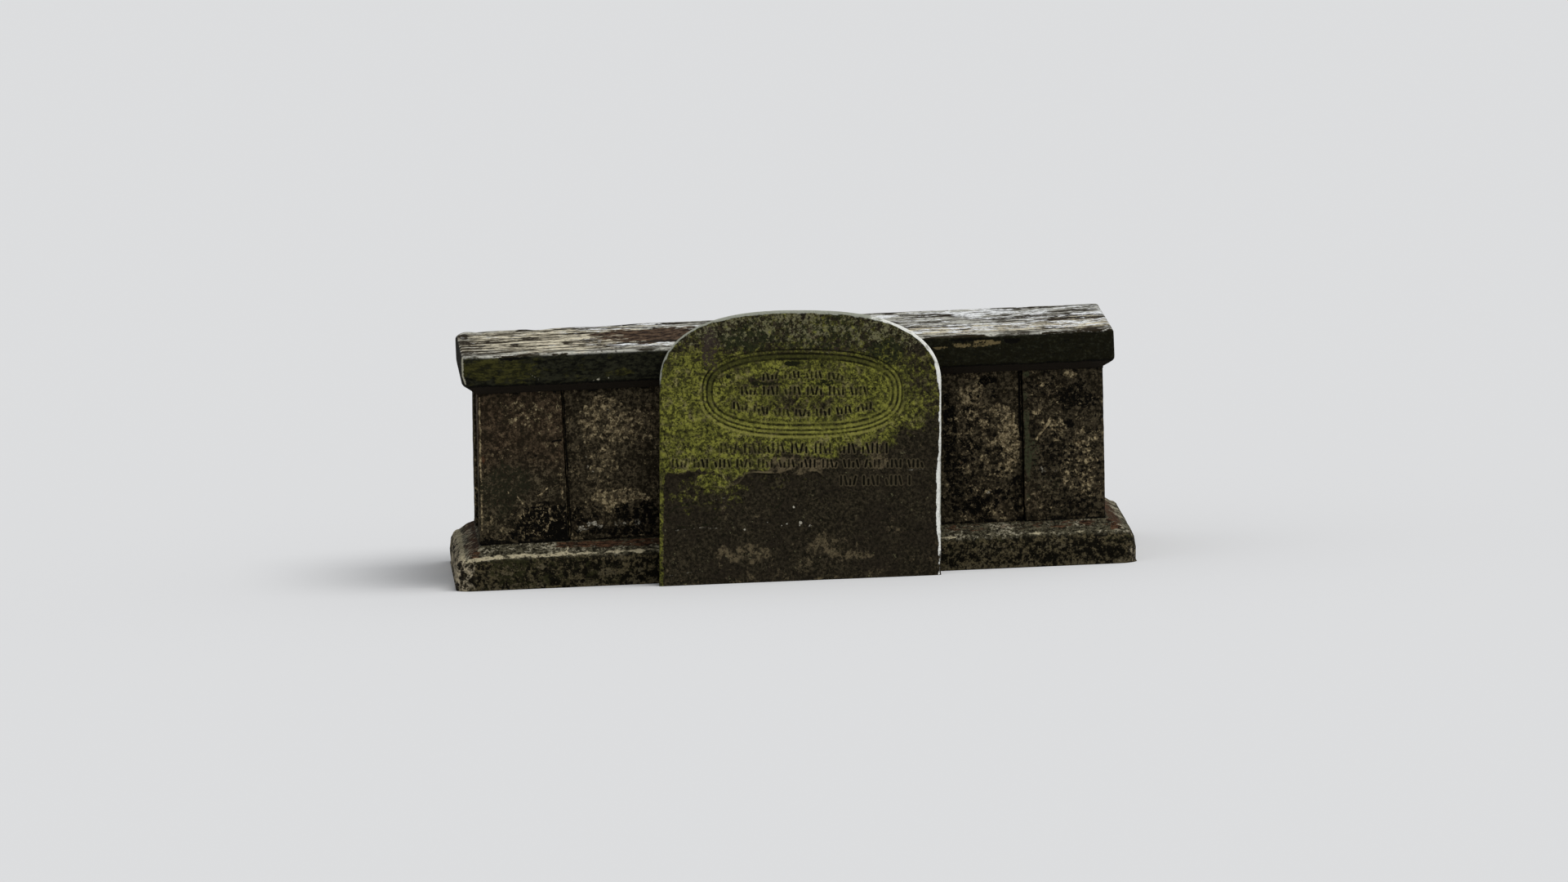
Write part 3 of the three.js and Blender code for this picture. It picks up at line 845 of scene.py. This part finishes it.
def makePlinth(material):
    points, triangles = plinthShape()
    normals = pointNormals(points, triangles)
    x, y, z = points.T
    nose, ridge = plinth["nose"], plinth["top"] - plinth["fall"]
    outX, outY = np.abs(x) - chest["halfLength"], np.abs(y) - chest["halfWidth"]
    out = np.maximum(outX, outY)
    onSlope = smooth(-0.002, 0.004, out) * smooth(nose + 0.002, nose - 0.010, out)
    onSlope = onSlope * smooth(ridge - 0.004, ridge, z)
    crest = np.exp(-((out - nose + 0.002) / 0.013) ** 2) * smooth(ridge - 0.016, ridge - 0.004, z)
    face = smooth(ridge, ridge - 0.015, z)
    onFront = smooth(0.0, 0.03, -y - chest["halfWidth"])
    onEnd = smooth(0.25, 0.8, np.abs(normals[:, 0])) * smooth(0.0, 0.02, outX)
    frontLeft = np.exp(-(np.hypot(x + 1.02, y + 0.44) / 0.075) ** 2)
    lumps = raisedNoise(points, 0.085, 131, 4, gain=0.65)
    broad = raisedNoise(points, 0.35, 137, 2)
    grain = raisedNoise(points, 0.020, 139, 3, gain=0.65)
    layers = terraces(raisedNoise(points, 0.055, 149, 3, stretch=(3, 3, 1)), 3)
    needleRelief = roughNoise(points, 0.014, 151, 3, stretch=(4.5, 1.5, 1))
    ribRelief = raisedNoise(points, 0.022, 153, 2, stretch=(12, 1, 12))
    patch = roughNoise(points, 0.08, 157, 4)
    wear = (6.0 * lumps + 1.6 * broad + 1.6 * grain + 2.4 * (1 - layers)) * (face + 0.6 * crest)
    wear = wear * (1 - 0.72 * onEnd) + onSlope * (1.6 * lumps + 1.2 * needleRelief + 0.8 * broad)
    wear = wear + 2.0 * ribRelief * onEnd
    hidden = (out < -0.001) | (normals[:, 2] < -0.9)
    wear = np.where(hidden | (z < 0.0005), 0, np.maximum(wear, 0))
    direction = normals.copy()
    direction[z < 0.012, 2] = 0
    points = points - direction * (wear * mm)[:, None]
    points[:, 2] -= 0.008 * frontLeft * smooth(0.03, ridge, z)
    points[:, 2] = np.maximum(points[:, 2], 0)
    # The ridge is pale, worn and partly a painted highlight; it is brightest at the front left and mostly
    # dirty elsewhere.
    ridgeWearAndHighlight = 0.36 + 0.26 * smooth(-0.42, -0.50, x) + 0.12 * smooth(-0.78, -0.86, x) \
        + 0.24 * roughNoise(points, 0.06, 163, 4)
    # Needles gather against the wall and leave a mottled strip before the ridge.
    byWall = smooth(0.046, 0.030, out + 0.008 * patch) * smooth(-0.80, -0.74, x)
    endNeedles = smooth(0.0, 0.01, outX) * (0.34 + 0.28 * smooth(0.050, 0.030, outX + 0.008 * patch))
    endRidge = 1 - 0.5 * smooth(0.0, 0.03, outX) * smooth(-0.5, 0.5, x)
    marks = {
        "slope": np.clip(onSlope + crest, 0, 1),
        "crust": 0.35 + 0.18 * patch + 0.12 * smooth(0.0, 0.03, outX),
        "needles": onSlope * (np.maximum(byWall * (0.62 - 0.20 * smooth(-0.30, 0.10, x)), endNeedles)
                              + 0.12 * roughNoise(points, 0.05, 161, 3)),
        "moss": (0.28 + 0.25 * roughNoise(points, 0.15, 167, 4)) * (0.4 + 0.6 * onFront),
        "pale": np.maximum(0.26 + 0.12 * patch + 0.22 * smooth(0.030, 0.004, z),
                           onFront * spots(x / mm, z / mm, plinthPaleSpots, points, 171)),
        "ribs": (0.70 - 0.28 * smooth(-0.5, 0.5, x)) * np.maximum(onEnd, 0.6 * smooth(0.0, 0.03, outX))
                + 0.10 * onEnd * patch,
        "ridge": np.maximum(crest * ridgeWearAndHighlight * endRidge,
                            onFront * scars(x / mm, z / mm, ridgeStalk, points, 173)),
    }
    makePiece("plinth", points, triangles, material, marks)


# Gravestone

head = {
    "halfWidth": 0.433,
    "shoulder": 0.589,
    "rise": 0.235,
    "thickness": 0.076,
    "edge": 0.011,
    "roundness": 2.5,
    "centre": 0.007,
    "foot": -0.500,
    "leanBack": math.radians(4.6),
    "leanAside": math.radians(2.4),
    "turnOut": math.radians(1.5),
    "across": 290,
    "up": 280,
}
oval = {
    "centre": (0.006, 0.573),
    "half": (0.308, 0.132),
    "roundness": 2.6,
    "inward": [0, 2.5, 6, 10, 13, 16, 28, 31, 34],
    "depth": [0, 3.5, 0.8, 0.8, 4, 3, 6.5, 8, 6],
}
# Rows of strokes: middle height, left and right end, stroke height, count and bow, in millimetres
strokeRows = [
    (627, -120, 135, 17, 19, -10),
    (577, -186, 205, 22, 29, 0),
    (509, -210, 222, 18, 34, 24),
    (401, -250, 272, 27, 36, 0),
    (354, -398, 380, 20, 59, 0),
    (302, 118, 342, 25, 16, 0),
]
stroke = {"slant": math.radians(14), "short": 0.6, "depth": 2.0}
flakeEdge = [(-420, 412), (-400, 362), (-384, 320), (-330, 322), (-326, 283), (-222, 281), (-186, 296),
             (-168, 322), (-70, 326), (-22, 335), (55, 328), (96, 296), (112, 230), (150, 120), (190, 0)]
flakeDepths = (4.5, 0.5)
headLook = {
    "soilDark": (0.012, 0.0098, 0.0055),
    "soil": (0.062, 0.050, 0.029),
    "tan": (0.132, 0.103, 0.058),
    "soilShade": (0.021, 0.0160, 0.0105),
    "mossDark": (0.054, 0.054, 0.0125),
    "moss": (0.270, 0.270, 0.048),
    # Darker moss in patches, and the painted shade band at the moulding's upper left.
    "mossShade": (0.036, 0.037, 0.0110),
    "mossPale": (0.340, 0.290, 0.135),
    "deep": (0.024, 0.027, 0.011),
    # Painted highlight on the moulding's slopes at its lower right.
    "bevelHighlight": (0.330, 0.320, 0.070),
    "grey": (0.185, 0.174, 0.092),
    "pits": (0.0065, 0.0058, 0.0032),
    # Painted highlight along the outer edge under the oval.
    "lipHighlight": (0.30, 0.285, 0.070),
    "edgeLip": (0.18, 0.145, 0.080),
    "line": (0.0060, 0.0055, 0.0025),
    "rimGrey": (0.36, 0.37, 0.30),
    "rimDark": (0.45, 0.445, 0.39),
    # Near white for the worn rim down the right side, partly a painted highlight.
    "rim": (0.95, 0.95, 0.88),
    "marks": {
        "bare": (0.046, 0.034, 0.027),
        "dark": (0.013, 0.014, 0.0055),
        "white": (0.48, 0.45, 0.36),
    },
}
# Lines that follow a mark: its name, the line's middle and half width in millimetres, strength, tone, and
# the mark that shows it. The moulding gets painted shade at its upper left and in its grooves, and a painted
# highlight at its lower right and along its lower outer edge.
headLines = [
    ("inward", -6.0, 6.0, 1.0, "lipHighlight", "lowLipHighlight"),
    ("broken", -3.5, 4.0, 1.0, "edgeLip", "edgeShown"),
    ("inward", 22.0, 13.0, 0.75, "mossShade", "shadeShown"),
    ("inward", 8.0, 5.5, 0.60, "bevelHighlight", "lightShown"),
    ("inward", 22.0, 6.0, 0.50, "bevelHighlight", "lightShown"),
    ("inward", 37.0, 4.5, 0.40, "bevelHighlight", "lightShown"),
    ("inward", 1.5, 3.8, 0.85, "line", "grooveShadeShown"),
    ("inward", 14.5, 4.2, 0.85, "line", "grooveShadeShown"),
    ("inward", 30.5, 4.4, 0.80, "line", "grooveShadeShown"),
    ("broken", 1.5, 3.4, 1.0, "line", "edgeShown"),
    ("stroke", 5.0, 2.6, 0.30, "edgeLip", "strokeShown"),
]
# Millimetres right and up on the stone's face
headFeatures = {
    "moss": [(-330, 490, 95, 95, 0.84), (245, 580, 60, 95, 0.80), (-261, 298, 64, 26, 0.66),
             (10, 440, 260, 28, 0.74), (340, 515, 60, 90, 0.42), (-230, 280, 90, 16, 0.46),
             (-290, 262, 130, 60, 0.36), (-60, 300, 120, 30, 0.26)],
    "thin": [(20, 548, 110, 46, 0.16), (10, 352, 100, 34, 0.34), (-110, 600, 90, 24, 0.2),
             (-150, 400, 60, 30, 0.14)],
    "tan": [(-10, 350, 130, 30, 0.52), (235, 385, 46, 66, 0.52), (-402, 395, 18, 66, 0.58),
            (-245, 380, 14, 26, 0.50), (-180, 82, 120, 34, 0.50), (90, 105, 100, 48, 0.46),
            (190, 74, 60, 22, 0.48), (290, 165, 40, 44, 0.36), (-25, 545, 110, 30, 0.34),
            (40, 745, 20, 50, 0.54), (-180, 205, 110, 26, 0.36)],
    "bare": [(-284, 715, 34, 58, 0.56), (-270, 660, 28, 30, 0.50), (120, 700, 60, 20, 0.38)],
    "deep": [(-170, 735, 100, 46, 0.54), (60, 730, 70, 40, 0.44), (270, 690, 80, 56, 0.54),
             (-380, 640, 36, 50, 0.4)],
    "dark": [(145, 735, 18, 40, 0.46), (270, 685, 44, 48, 0.34), (365, 645, 38, 28, 0.36),
             (-30, 660, 24, 8, 0.8), (65, 655, 7, 7, 0.8), (-105, 598, 48, 9, 0.6), (-222, 620, 10, 10, 0.7),
             (70, 600, 34, 12, 0.6)],
    "white": [(-20, 222, 5, 5, 0.66), (-100, 178, 6, 4, 0.6), (-57, 168, 5, 4, 0.6), (-40, 172, 5, 4, 0.55),
              (0, 175, 6, 5, 0.66), (-2, 167, 4, 4, 0.6), (-170, 158, 5, 4, 0.55), (30, 165, 5, 4, 0.55)],
}
headPaleLines = [(3.5, 0.36, [(-385, 159), (-350, 161), (-320, 163)]),
                 (3.5, 0.38, [(-310, 167), (-240, 163)]), (2.8, 0.34, [(330, 334), (370, 337), (405, 335)]),
                 (3.5, 0.34, [(-440, 24), (-380, 30), (-330, 38)]),
                 (5.5, 0.28, [(-270, 247), (-200, 254), (-140, 250)])]
headDarkLines = [(4.0, 0.7, [(-410, 200), (-380, 228), (-320, 236), (-265, 222), (-250, 200), (-275, 175),
                             (-340, 165), (-395, 175), (-410, 200)]),
                 (4.5, 0.8, [(-100, 236), (-82, 215), (-60, 234)]),
                 (4.0, 0.6, [(200, 142), (245, 176), (300, 184)]),
                 (4.0, 0.6, [(110, 80), (135, 94), (160, 92)]), (3.5, 0.6, [(410, 330), (409, 500)])]


def headStone():
    # Brown stone under yellow-green moss, with thin dark lines where it is cut or flaked, a pale worn rim
    # that is near white down its right side as a painted highlight, and painted shade and highlight on the
    # oval's moulding.
    kit = NodeKit("mossy_stone", headLook)
    colour = kit.mottle(0.009, "soil", 0.38, 0.68)
    colour = kit.cloud(colour, "soilShade", 0.130, 7, 0.72, 15.1, 0.42, 0.60, 0.60)
    colour = kit.grow(colour, "tan", 0.024, 0.08, 1.7)
    colour = kit.grow(colour, "grey", 0.014, 0.035, 2.9)
    moss = kit.mottle(0.011, "moss", 0.42, 0.59, 4.3)
    moss = kit.cloud(moss, "mossPale", 0.040, 7, 0.76, 16.3, 0.52, 0.66, 0.55)
    moss = kit.cloud(moss, "mossShade", 0.070, 8, 0.78, 9.7, 0.46, 0.64, 0.70)
    colour = kit.grow(colour, "moss", 0.016, 0.14, 5.9, moss)
    colour = kit.grow(colour, "deep", 0.014, 0.06, 12.1)
    colour = kit.grit(colour, "line", 0.009, 11.3)
    colour = kit.grow(colour, "pitted", 0.011, 0.06, 6.7, "pits")
    # The headLines table, with the moulding's painted shade and painted highlight.
    for mark, middle, halfWidth, strength, tone, shown in headLines:
        line = kit.sums("MULTIPLY", kit.line(kit.mark(mark), middle, halfWidth), kit.mark(shown))
        colour = kit.blend(kit.sums("MULTIPLY", line, strength), colour, tone)
    cut = kit.sums("MULTIPLY", kit.between(kit.mark("stroke"), 2.2, 4.0, 1.0, 0.0), kit.mark("strokeShown"))
    colour = kit.paint(kit.blend(cut, colour, "line"))
    colour = kit.grow(colour, "rimGrey", 0.020, 0.12, 13.3)
    # The worn rim, near white down the right side as a painted highlight.
    wornRimAndHighlight = kit.mottle(0.030, "rim", 0.28, 0.50, 7.9)
    colour = kit.grow(colour, "rim", 0.020, 0.12, 8.3, wornRimAndHighlight)
    return kit.finish(colour, kit.grain(0.9, 0.8))


def standStone(u, v, depth):
    # From the slab's own right, up and outward measures to where it leans in front of the tomb.
    turn = Matrix.Rotation(-head["turnOut"], 3, "Z") @ Matrix.Rotation(-head["leanBack"], 3, "X") \
        @ Matrix.Rotation(head["leanAside"], 3, "Y")
    local = np.stack([u, -depth, v], axis=-1)
    return local @ np.array(turn).T + np.array([head["centre"], head["foot"], 0])


def footHeight(u, depth):
    # The height on the stone at which the level ground cuts it: where its third coordinate is nought.
    rise = standStone(np.zeros(1), np.ones(1), np.zeros(1))[0, 2]
    return -standStone(u, np.zeros_like(u), depth)[..., 2] / rise


def headOutline():
    # Round the slab from the lower left: foot, right side, head, left side, with outward normals.
    across, up = head["across"], head["up"]
    half = head["halfWidth"] - head["edge"]
    shoulder, rise = head["shoulder"], head["rise"] - head["edge"]
    power = head["roundness"]
    turn = np.linspace(0, math.pi, 4001)
    arcU = half * np.sign(np.cos(turn)) * np.abs(np.cos(turn)) ** (2 / power)
    arcV = shoulder + rise * np.abs(np.sin(turn)) ** (2 / power)
    length = np.concatenate([[0], np.cumsum(np.hypot(np.diff(arcU), np.diff(arcV)))])
    even = np.linspace(0, length[-1], across + 1)
    headU, headV = np.interp(even, length, arcU), np.interp(even, length, arcV)
    normalU = np.sign(headU) * (np.abs(headU) / half) ** (power - 1) / half
    normalV = (np.clip(headV - shoulder, 0, None) / rise) ** (power - 1) / rise
    size = np.maximum(np.hypot(normalU, normalV), 1e-9)
    t, s = np.linspace(0, 1, up + 1), np.linspace(-1, 1, across + 1)
    sideOnes, sideZeros, footZeros = np.ones(up + 1), np.zeros(up + 1), np.zeros(across + 1)
    foot = np.stack([half * s, footZeros, footZeros, footZeros], axis=1)
    right = np.stack([half * sideOnes, shoulder * t, sideOnes, sideZeros], axis=1)
    crown = np.stack([headU, headV, normalU / size, normalV / size], axis=1)
    left = np.stack([-half * sideOnes, shoulder * t[::-1], -sideOnes, sideZeros], axis=1)
    foot[0, 2], foot[-1, 2] = -1, 1
    return np.concatenate([foot[:-1], right[:-1], crown[:-1], left[:-1]])


def headShape():
    # The face is a square lattice stretched from its middle so that its edge lies on the outline.
    across, up, edge, thick = head["across"], head["up"], head["edge"], head["thickness"]
    outline = headOutline()
    middle = np.array([0.0, 0.40])
    s = np.linspace(-1, 1, across + 1)[None, :] * np.ones((up + 1, 1))
    t = np.linspace(-1, 1, up + 1)[:, None] * np.ones((1, across + 1))
    size = np.maximum(np.maximum(np.abs(s), np.abs(t)), 1e-9)
    edgeS, edgeT = s / size, t / size
    # Place along the walk for each lattice point's ray: foot, right, crown and left.
    along = np.where(edgeT <= -1 + 1e-9, (edgeS + 1) / 2 * across,
                     np.where(edgeS >= 1 - 1e-9, across + (edgeT + 1) / 2 * up,
                              np.where(edgeT >= 1 - 1e-9, across + up + (1 - edgeS) / 2 * across,
                                       2 * across + up + (1 - edgeT) / 2 * up)))
    walk = np.arange(len(outline) + 1)
    closed = np.concatenate([outline, outline[:1]])
    u = middle[0] + size * (np.interp(along, walk, closed[:, 0]) - middle[0])
    v = middle[1] + size * (np.interp(along, walk, closed[:, 1]) - middle[1])
    face = np.stack([u, v, np.full(u.shape, thick)], axis=2).reshape(-1, 3)
    # The front arris, the side and the back arris are the outline pushed outwards along its normals.
    frontTurns, backTurns = np.linspace(0, math.pi / 2, 5)[1:], np.linspace(0, math.pi / 2, 3)[1:]
    rims = [(edge * math.sin(a), thick - edge * (1 - math.cos(a))) for a in frontTurns]
    rims += [(edge, depth) for depth in np.linspace(thick - edge, edge, 6)[1:]]
    rims += [(edge * math.cos(a), edge * (1 - math.sin(a))) for a in backTurns]
    rows = [np.column_stack([outline[:, :2], np.full(len(outline), thick)])]
    rows += [np.column_stack([outline[:, 0] + out * outline[:, 2], outline[:, 1] + out * outline[:, 3],
                              np.full(len(outline), depth)]) for out, depth in rims]
    rows.append(np.tile([*middle, 0.0], (len(outline), 1)))
    rim = np.stack(rows)
    return welded(np.concatenate([face, rim.reshape(-1, 3)]), np.concatenate([
        gridTriangles(up + 1, across + 1, False),
        gridTriangles(len(rim), len(outline), True, len(face))[:, ::-1]]))


def ovalInward(u, v):
    # How far inside the tablet's rim a point lies: the step in at which the shrunken oval passes through it.
    u, v = np.abs(u - oval["centre"][0]), np.abs(v - oval["centre"][1])
    low, high = np.full(u.shape, -0.06), np.full(u.shape, 0.125)
    for halving in range(18):
        guess = (low + high) / 2
        inside = (u / (oval["half"][0] - guess)) ** oval["roundness"] \
            + (v / (oval["half"][1] - guess)) ** oval["roundness"] < 1
        low, high = np.where(inside, guess, low), np.where(inside, high, guess)
    return low / mm


def fromOutline(u, v):
    # Roughly how far inside the slab's outline a point of its face lies, in millimetres.
    power, high = head["roundness"], np.clip(v - head["shoulder"], 0, None)
    reach = ((np.abs(u) / head["halfWidth"]) ** power + (high / head["rise"]) ** power) ** (1 / power)
    return np.hypot(u, high) * (1 / np.maximum(reach, 1e-6) - 1) / mm


def toStrokes(a, b):
    # Distance to the nearest of the rows' strokes, which stand for the inscription.
    # Every fifth place in a row is a gap, and by their places some strokes are short and some lean.
    nearest = np.full(len(a), 50.0)
    for middle, left, right, height, count, bow in strokeRows:
        for i in range(count):
            if i % 5 == 4:
                continue
            along = (i + 0.5) / count
            tall = stroke["short"] * height if i % 4 == 2 else height
            centreA = left + along * (right - left)
            centreB = middle + bow * (2 * along - 1) ** 2 - (height - tall) / 2
            slant = stroke["slant"] if i % 3 == 1 else -stroke["slant"] if i % 7 == 3 else 0.0
            stepA, stepB = -math.sin(slant) * tall / 2, math.cos(slant) * tall / 2
            ends = [(centreA - stepA, centreB - stepB), (centreA + stepA, centreB + stepB)]
            nearest = np.minimum(nearest, toPath(a, b, ends))
    return nearest


def makeHeadstone(material):
    points, triangles = headShape()
    normals = pointNormals(points, triangles)
    u, v, depth = points.T
    a, b = u / mm, v / mm
    onFace = smooth(0.5, 0.95, normals[:, 2])

    def drawn(kind, seed):
        return onFace * spots(a, b, headFeatures[kind], points, seed)

    inward = ovalInward(u, v)
    carved = np.interp(inward, [-1.5] + oval["inward"][1:], [0.0] + oval["depth"][1:])
    strokes = toStrokes(a, b)
    # Broken is the signed distance into the flaked patch, whose depth falls away to the right.
    shakenA, shakenB = a + 5 * roughNoise(points, 0.03, 223, 4), b + 5 * roughNoise(points, 0.03, 227, 4)
    edgeA, edgeB = np.array(flakeEdge, float).T
    below = np.interp(shakenA, edgeA, edgeB) - shakenB
    broken = np.sign(below) * toPath(shakenA, shakenB, flakeEdge)
    flakeHere = np.interp(a, [edgeA[0], edgeA[-1]], flakeDepths)
    inFlake = smooth(-0.5, 2.5, broken)
    patch = roughNoise(points, 0.11, 251, 5)
    small = roughNoise(points, 0.035, 257, 4)
    lower = smooth(0.36, 0.28, v)
    layers = terraces(raisedNoise(points, 0.16, 229, 4, stretch=(1.6, 1, 1)), 6, 0.08)
    paleLines = onFace * scars(a, b, headPaleLines, points, 231)
    darkLines = onFace * scars(a, b, headDarkLines, points, 233)
    waves = raisedNoise(points, 0.16, 235, 3)
    grain = raisedNoise(points, 0.016, 237, 3, gain=0.7)
    pits = smooth(0.35, 0.8, roughNoise(points, 0.012, 239, 2))
    worn = 0.35 + 0.65 * smooth(-0.5, 0.4, roughNoise(points, 0.05, 211, 3))
    wear = 1.2 * waves + 0.9 * grain + 0.8 * pits + onFace * (
        carved + stroke["depth"] * worn * smooth(3.2, 1.2, strokes) + flakeHere * inFlake
        + 2.2 * lower * (1 - layers) + 1.2 * darkLines)
    rounded = smooth(0.995, 0.75, normals[:, 2]) * smooth(-0.3, 0.2, normals[:, 2])
    chips = smooth(0.2, 0.8, roughNoise(points, 0.05, 241, 4)) * rounded
    spallHigh = smooth(0.06, 0.20, v) * smooth(0.42, 0.30, v)
    spall = spallHigh * smooth(0.405, 0.43, u) * smooth(0.03, 0.06, depth)
    calm = 1 - 0.85 * rounded * smooth(0.55, 0.62, v)
    wear = (wear * calm + 0.7 * chips + 5 * spall) * mm
    # The foot is cut by the level ground, so each point's height is eased towards the cut.
    local = points - normals * (wear * (v >= 0.0005))[:, None]
    standU, standV, standDepth = local.T
    cut = footHeight(standU, standDepth)
    standV = np.maximum(standV, 0) + cut * np.clip(1 - standV / 0.35, 0, 1)
    world = standStone(standU, standV, standDepth)
    world[:, 2] = np.maximum(world[:, 2], 0)
    # Moss ends above the flake and higher up on the right.
    mossFoot = np.interp(a, [-420, 40, 130, 240, 300, 430], [320, 332, 378, 400, 436, 468])
    ragged = 24 * small + 22 * patch
    fading = 14 + 56 * smooth(0, 280, a)
    mossLevel = 0.66 * smooth(0, 1, 0.5 + (b + ragged - mossFoot) / (2 * fading))
    mossLevel = mossLevel * (1 - 0.42 * smooth(650, 730, b + 30 * patch))
    mossLevel = mossLevel * (1 - 0.26 * smooth(250, 380, a + 40 * patch))
    moss = np.maximum(mossLevel + 0.14 * patch - drawn("thin", 259), drawn("moss", 261) + 0.05 * patch)
    foot = smooth(0.10, 0.02, v + 0.06 * patch)
    high = smooth(0.66, 0.75, v)
    leftSide = smooth(-0.400, -0.425, u) * smooth(0.62, 0.55, v)
    edgeWorn = smooth(0.995, 0.80, normals[:, 2]) * smooth(-0.9, -0.6, normals[:, 2]) * smooth(0.02, 0.10, v)
    edgeWorn = edgeWorn * (0.86 + 0.14 * small)
    inside = fromOutline(u, v)
    archWorn = smooth(14, 8, inside + 2.5 * small + 8 * smooth(-0.22, -0.36, u)) * smooth(0.56, 0.64, v)
    archWorn = archWorn * smooth(-0.9, -0.6, normals[:, 2])
    leftGreen = onFace * smooth(22, 12, inside + 4 * small) * smooth(-0.38, -0.40, u) * smooth(0.55, 0.45, v)
    # Worn edges on the right and the arch, near white there as a painted highlight.
    rightWornAndHighlight = onFace * smooth(9, 3, inside - 7 * spallHigh + 3 * small)
    rightWornAndHighlight = np.maximum(rightWornAndHighlight, archWorn) * smooth(0.15, 0.32, u) + 0.6 * spall
    # How far a place of the oval's moulding faces the light: 1 at its lower right, 0 at its upper left. It
    # sets the moulding's painted shade and painted highlight.
    asideOval, aboveOval = u - oval["centre"][0], v - oval["centre"][1]
    lit = smooth(-0.8, 0.8, 0.5 * asideOval / oval["half"][0] - aboveOval / oval["half"][1])
    marks = {
        "inward": inward,
        "broken": broken,
        "stroke": strokes,
        "strokeShown": (0.55 + 0.45 * worn) * onFace * (1 - 0.6 * inFlake),
        # Painted shade in the moulding's grooves and band at its upper left, painted highlight on its slopes
        # and lower outer edge.
        "grooveShadeShown": onFace * (0.60 + 0.40 * smooth(-0.4, 0.3, small + patch)) * (1 - 0.3 * lit),
        "lightShown": onFace * (0.12 + 0.88 * lit) * (0.6 + 0.4 * smooth(-0.4, 0.3, small)),
        "shadeShown": onFace * (1 - lit) * smooth(-0.5, 0.3, small + 0.3),
        "lowLipHighlight": onFace * 0.7 * smooth(0.0, -0.08, aboveOval) * smooth(-0.5, 0.2, small + 0.2),
        "edgeShown": onFace * smooth(80, 40, a) * (0.25 + 0.6 * smooth(-160, -120, a))
                     * smooth(-0.5, 0.1, small),
        "moss": np.maximum(moss * onFace, 0.52 * leftGreen) + leftSide * 0.6 * (1 - onFace),
        "grey": onFace * (0.18 + 0.30 * high + 0.10 * small),
        "deep": np.maximum(drawn("deep", 265),
                           onFace * (0.22 + 0.16 * high + 0.12 * patch) * smooth(0.33, 0.42, v)),
        "tan": onFace * np.maximum(0.18 + 0.10 * small + 0.14 * foot, drawn("tan", 263)),
        "pitted": onFace * (0.24 + 0.10 * patch),
        "bare": drawn("bare", 267),
        "dark": np.maximum(drawn("dark", 269), 0.7 * darkLines),
        "white": np.maximum(drawn("white", 271), paleLines),
        "rimGrey": np.maximum(edgeWorn * (1 - 0.8 * leftSide) * (0.9 - 0.2 * smooth(0.70, 0.62, v)),
                              0.8 * archWorn),
        # Worn rim on the right side, whiter towards the front, partly a painted highlight.
        "rim": np.maximum(edgeWorn * smooth(0.15, 0.32, u) * (0.30 + 0.70 * smooth(0.025, 0.060, depth)),
                          rightWornAndHighlight),
    }
    makePiece("headstone", world, triangles, material, marks)


# Studio

studio = {
    "azimuth": -1.96,
    "elevation": 5.67,
    "roll": 2.30,
    "distance": 60.0,
    "lens": 444.9,
    "target": (-0.008, 0.0, 0.3755),
    "floorReach": 120.0,
    "floorTone": (0.74, 0.74, 0.74),
    "towardsSun": (0.38, -0.22, 0.90),
    "sunPower": 1.9,
    "sunWidth": math.radians(45),
    "skyTone": (0.95, 0.97, 1.0),
    "skyPower": 0.45,
}


def makeCamera():
    # The camera stands far back on the view line, rolled so that the tomb rises to the right.
    a, e, r = (math.radians(studio[key]) for key in ("azimuth", "elevation", "roll"))
    back = Vector((math.sin(a) * math.cos(e), -math.cos(a) * math.cos(e), math.sin(e)))
    level = (-back).cross(Vector((0, 0, 1))).normalized()
    up = level.cross(-back)
    right = level * math.cos(r) - up * math.sin(r)
    rolled = level * math.sin(r) + up * math.cos(r)
    place = Matrix((right, rolled, back)).transposed().to_4x4()
    place.translation = Vector(studio["target"]) + back * studio["distance"]
    data = bpy.data.cameras.new("camera")
    data.lens = studio["lens"]
    data.sensor_width = 36
    data.clip_end = 500
    camera = placed("camera", data)
    camera.matrix_world = place
    bpy.context.scene.camera = camera


def makeStudio():
    # A wide matt floor, an even sky and one broad soft sun.
    floorMesh = bpy.data.meshes.new("floor")
    reach = studio["floorReach"]
    floorMesh.from_pydata([(-reach, -reach, 0), (reach, -reach, 0), (reach, reach, 0), (-reach, reach, 0)],
                          [], [(0, 1, 2, 3)])
    floor = placed("floor", floorMesh)
    material = bpy.data.materials.new("pale_floor")
    material.use_nodes = True
    shader = material.node_tree.nodes["Principled BSDF"]
    shader.inputs["Base Color"].default_value = (*studio["floorTone"], 1)
    shader.inputs["Roughness"].default_value = 1.0
    shader.inputs["Specular IOR Level"].default_value = 0.0
    floorMesh.materials.append(material)
    world = bpy.data.worlds.new("soft sky")
    world.use_nodes = True
    world.node_tree.nodes["Background"].inputs["Color"].default_value = (*studio["skyTone"], 1)
    world.node_tree.nodes["Background"].inputs["Strength"].default_value = studio["skyPower"]
    bpy.context.scene.world = world
    data = bpy.data.lights.new("sun", "SUN")
    data.energy = studio["sunPower"]
    data.angle = studio["sunWidth"]
    sun = placed("sun", data)
    sun.rotation_euler = (-Vector(studio["towardsSun"])).to_track_quat("-Z", "Y").to_euler()
    bpy.context.scene.view_settings.view_transform = "Standard"


makeCamera()
print("camera placed")
makeChest(chestStone())
makeLedger(ledgerStone())
makePlinth(plinthStone())
makeHeadstone(headStone())
makeStudio()
print("studio lit")
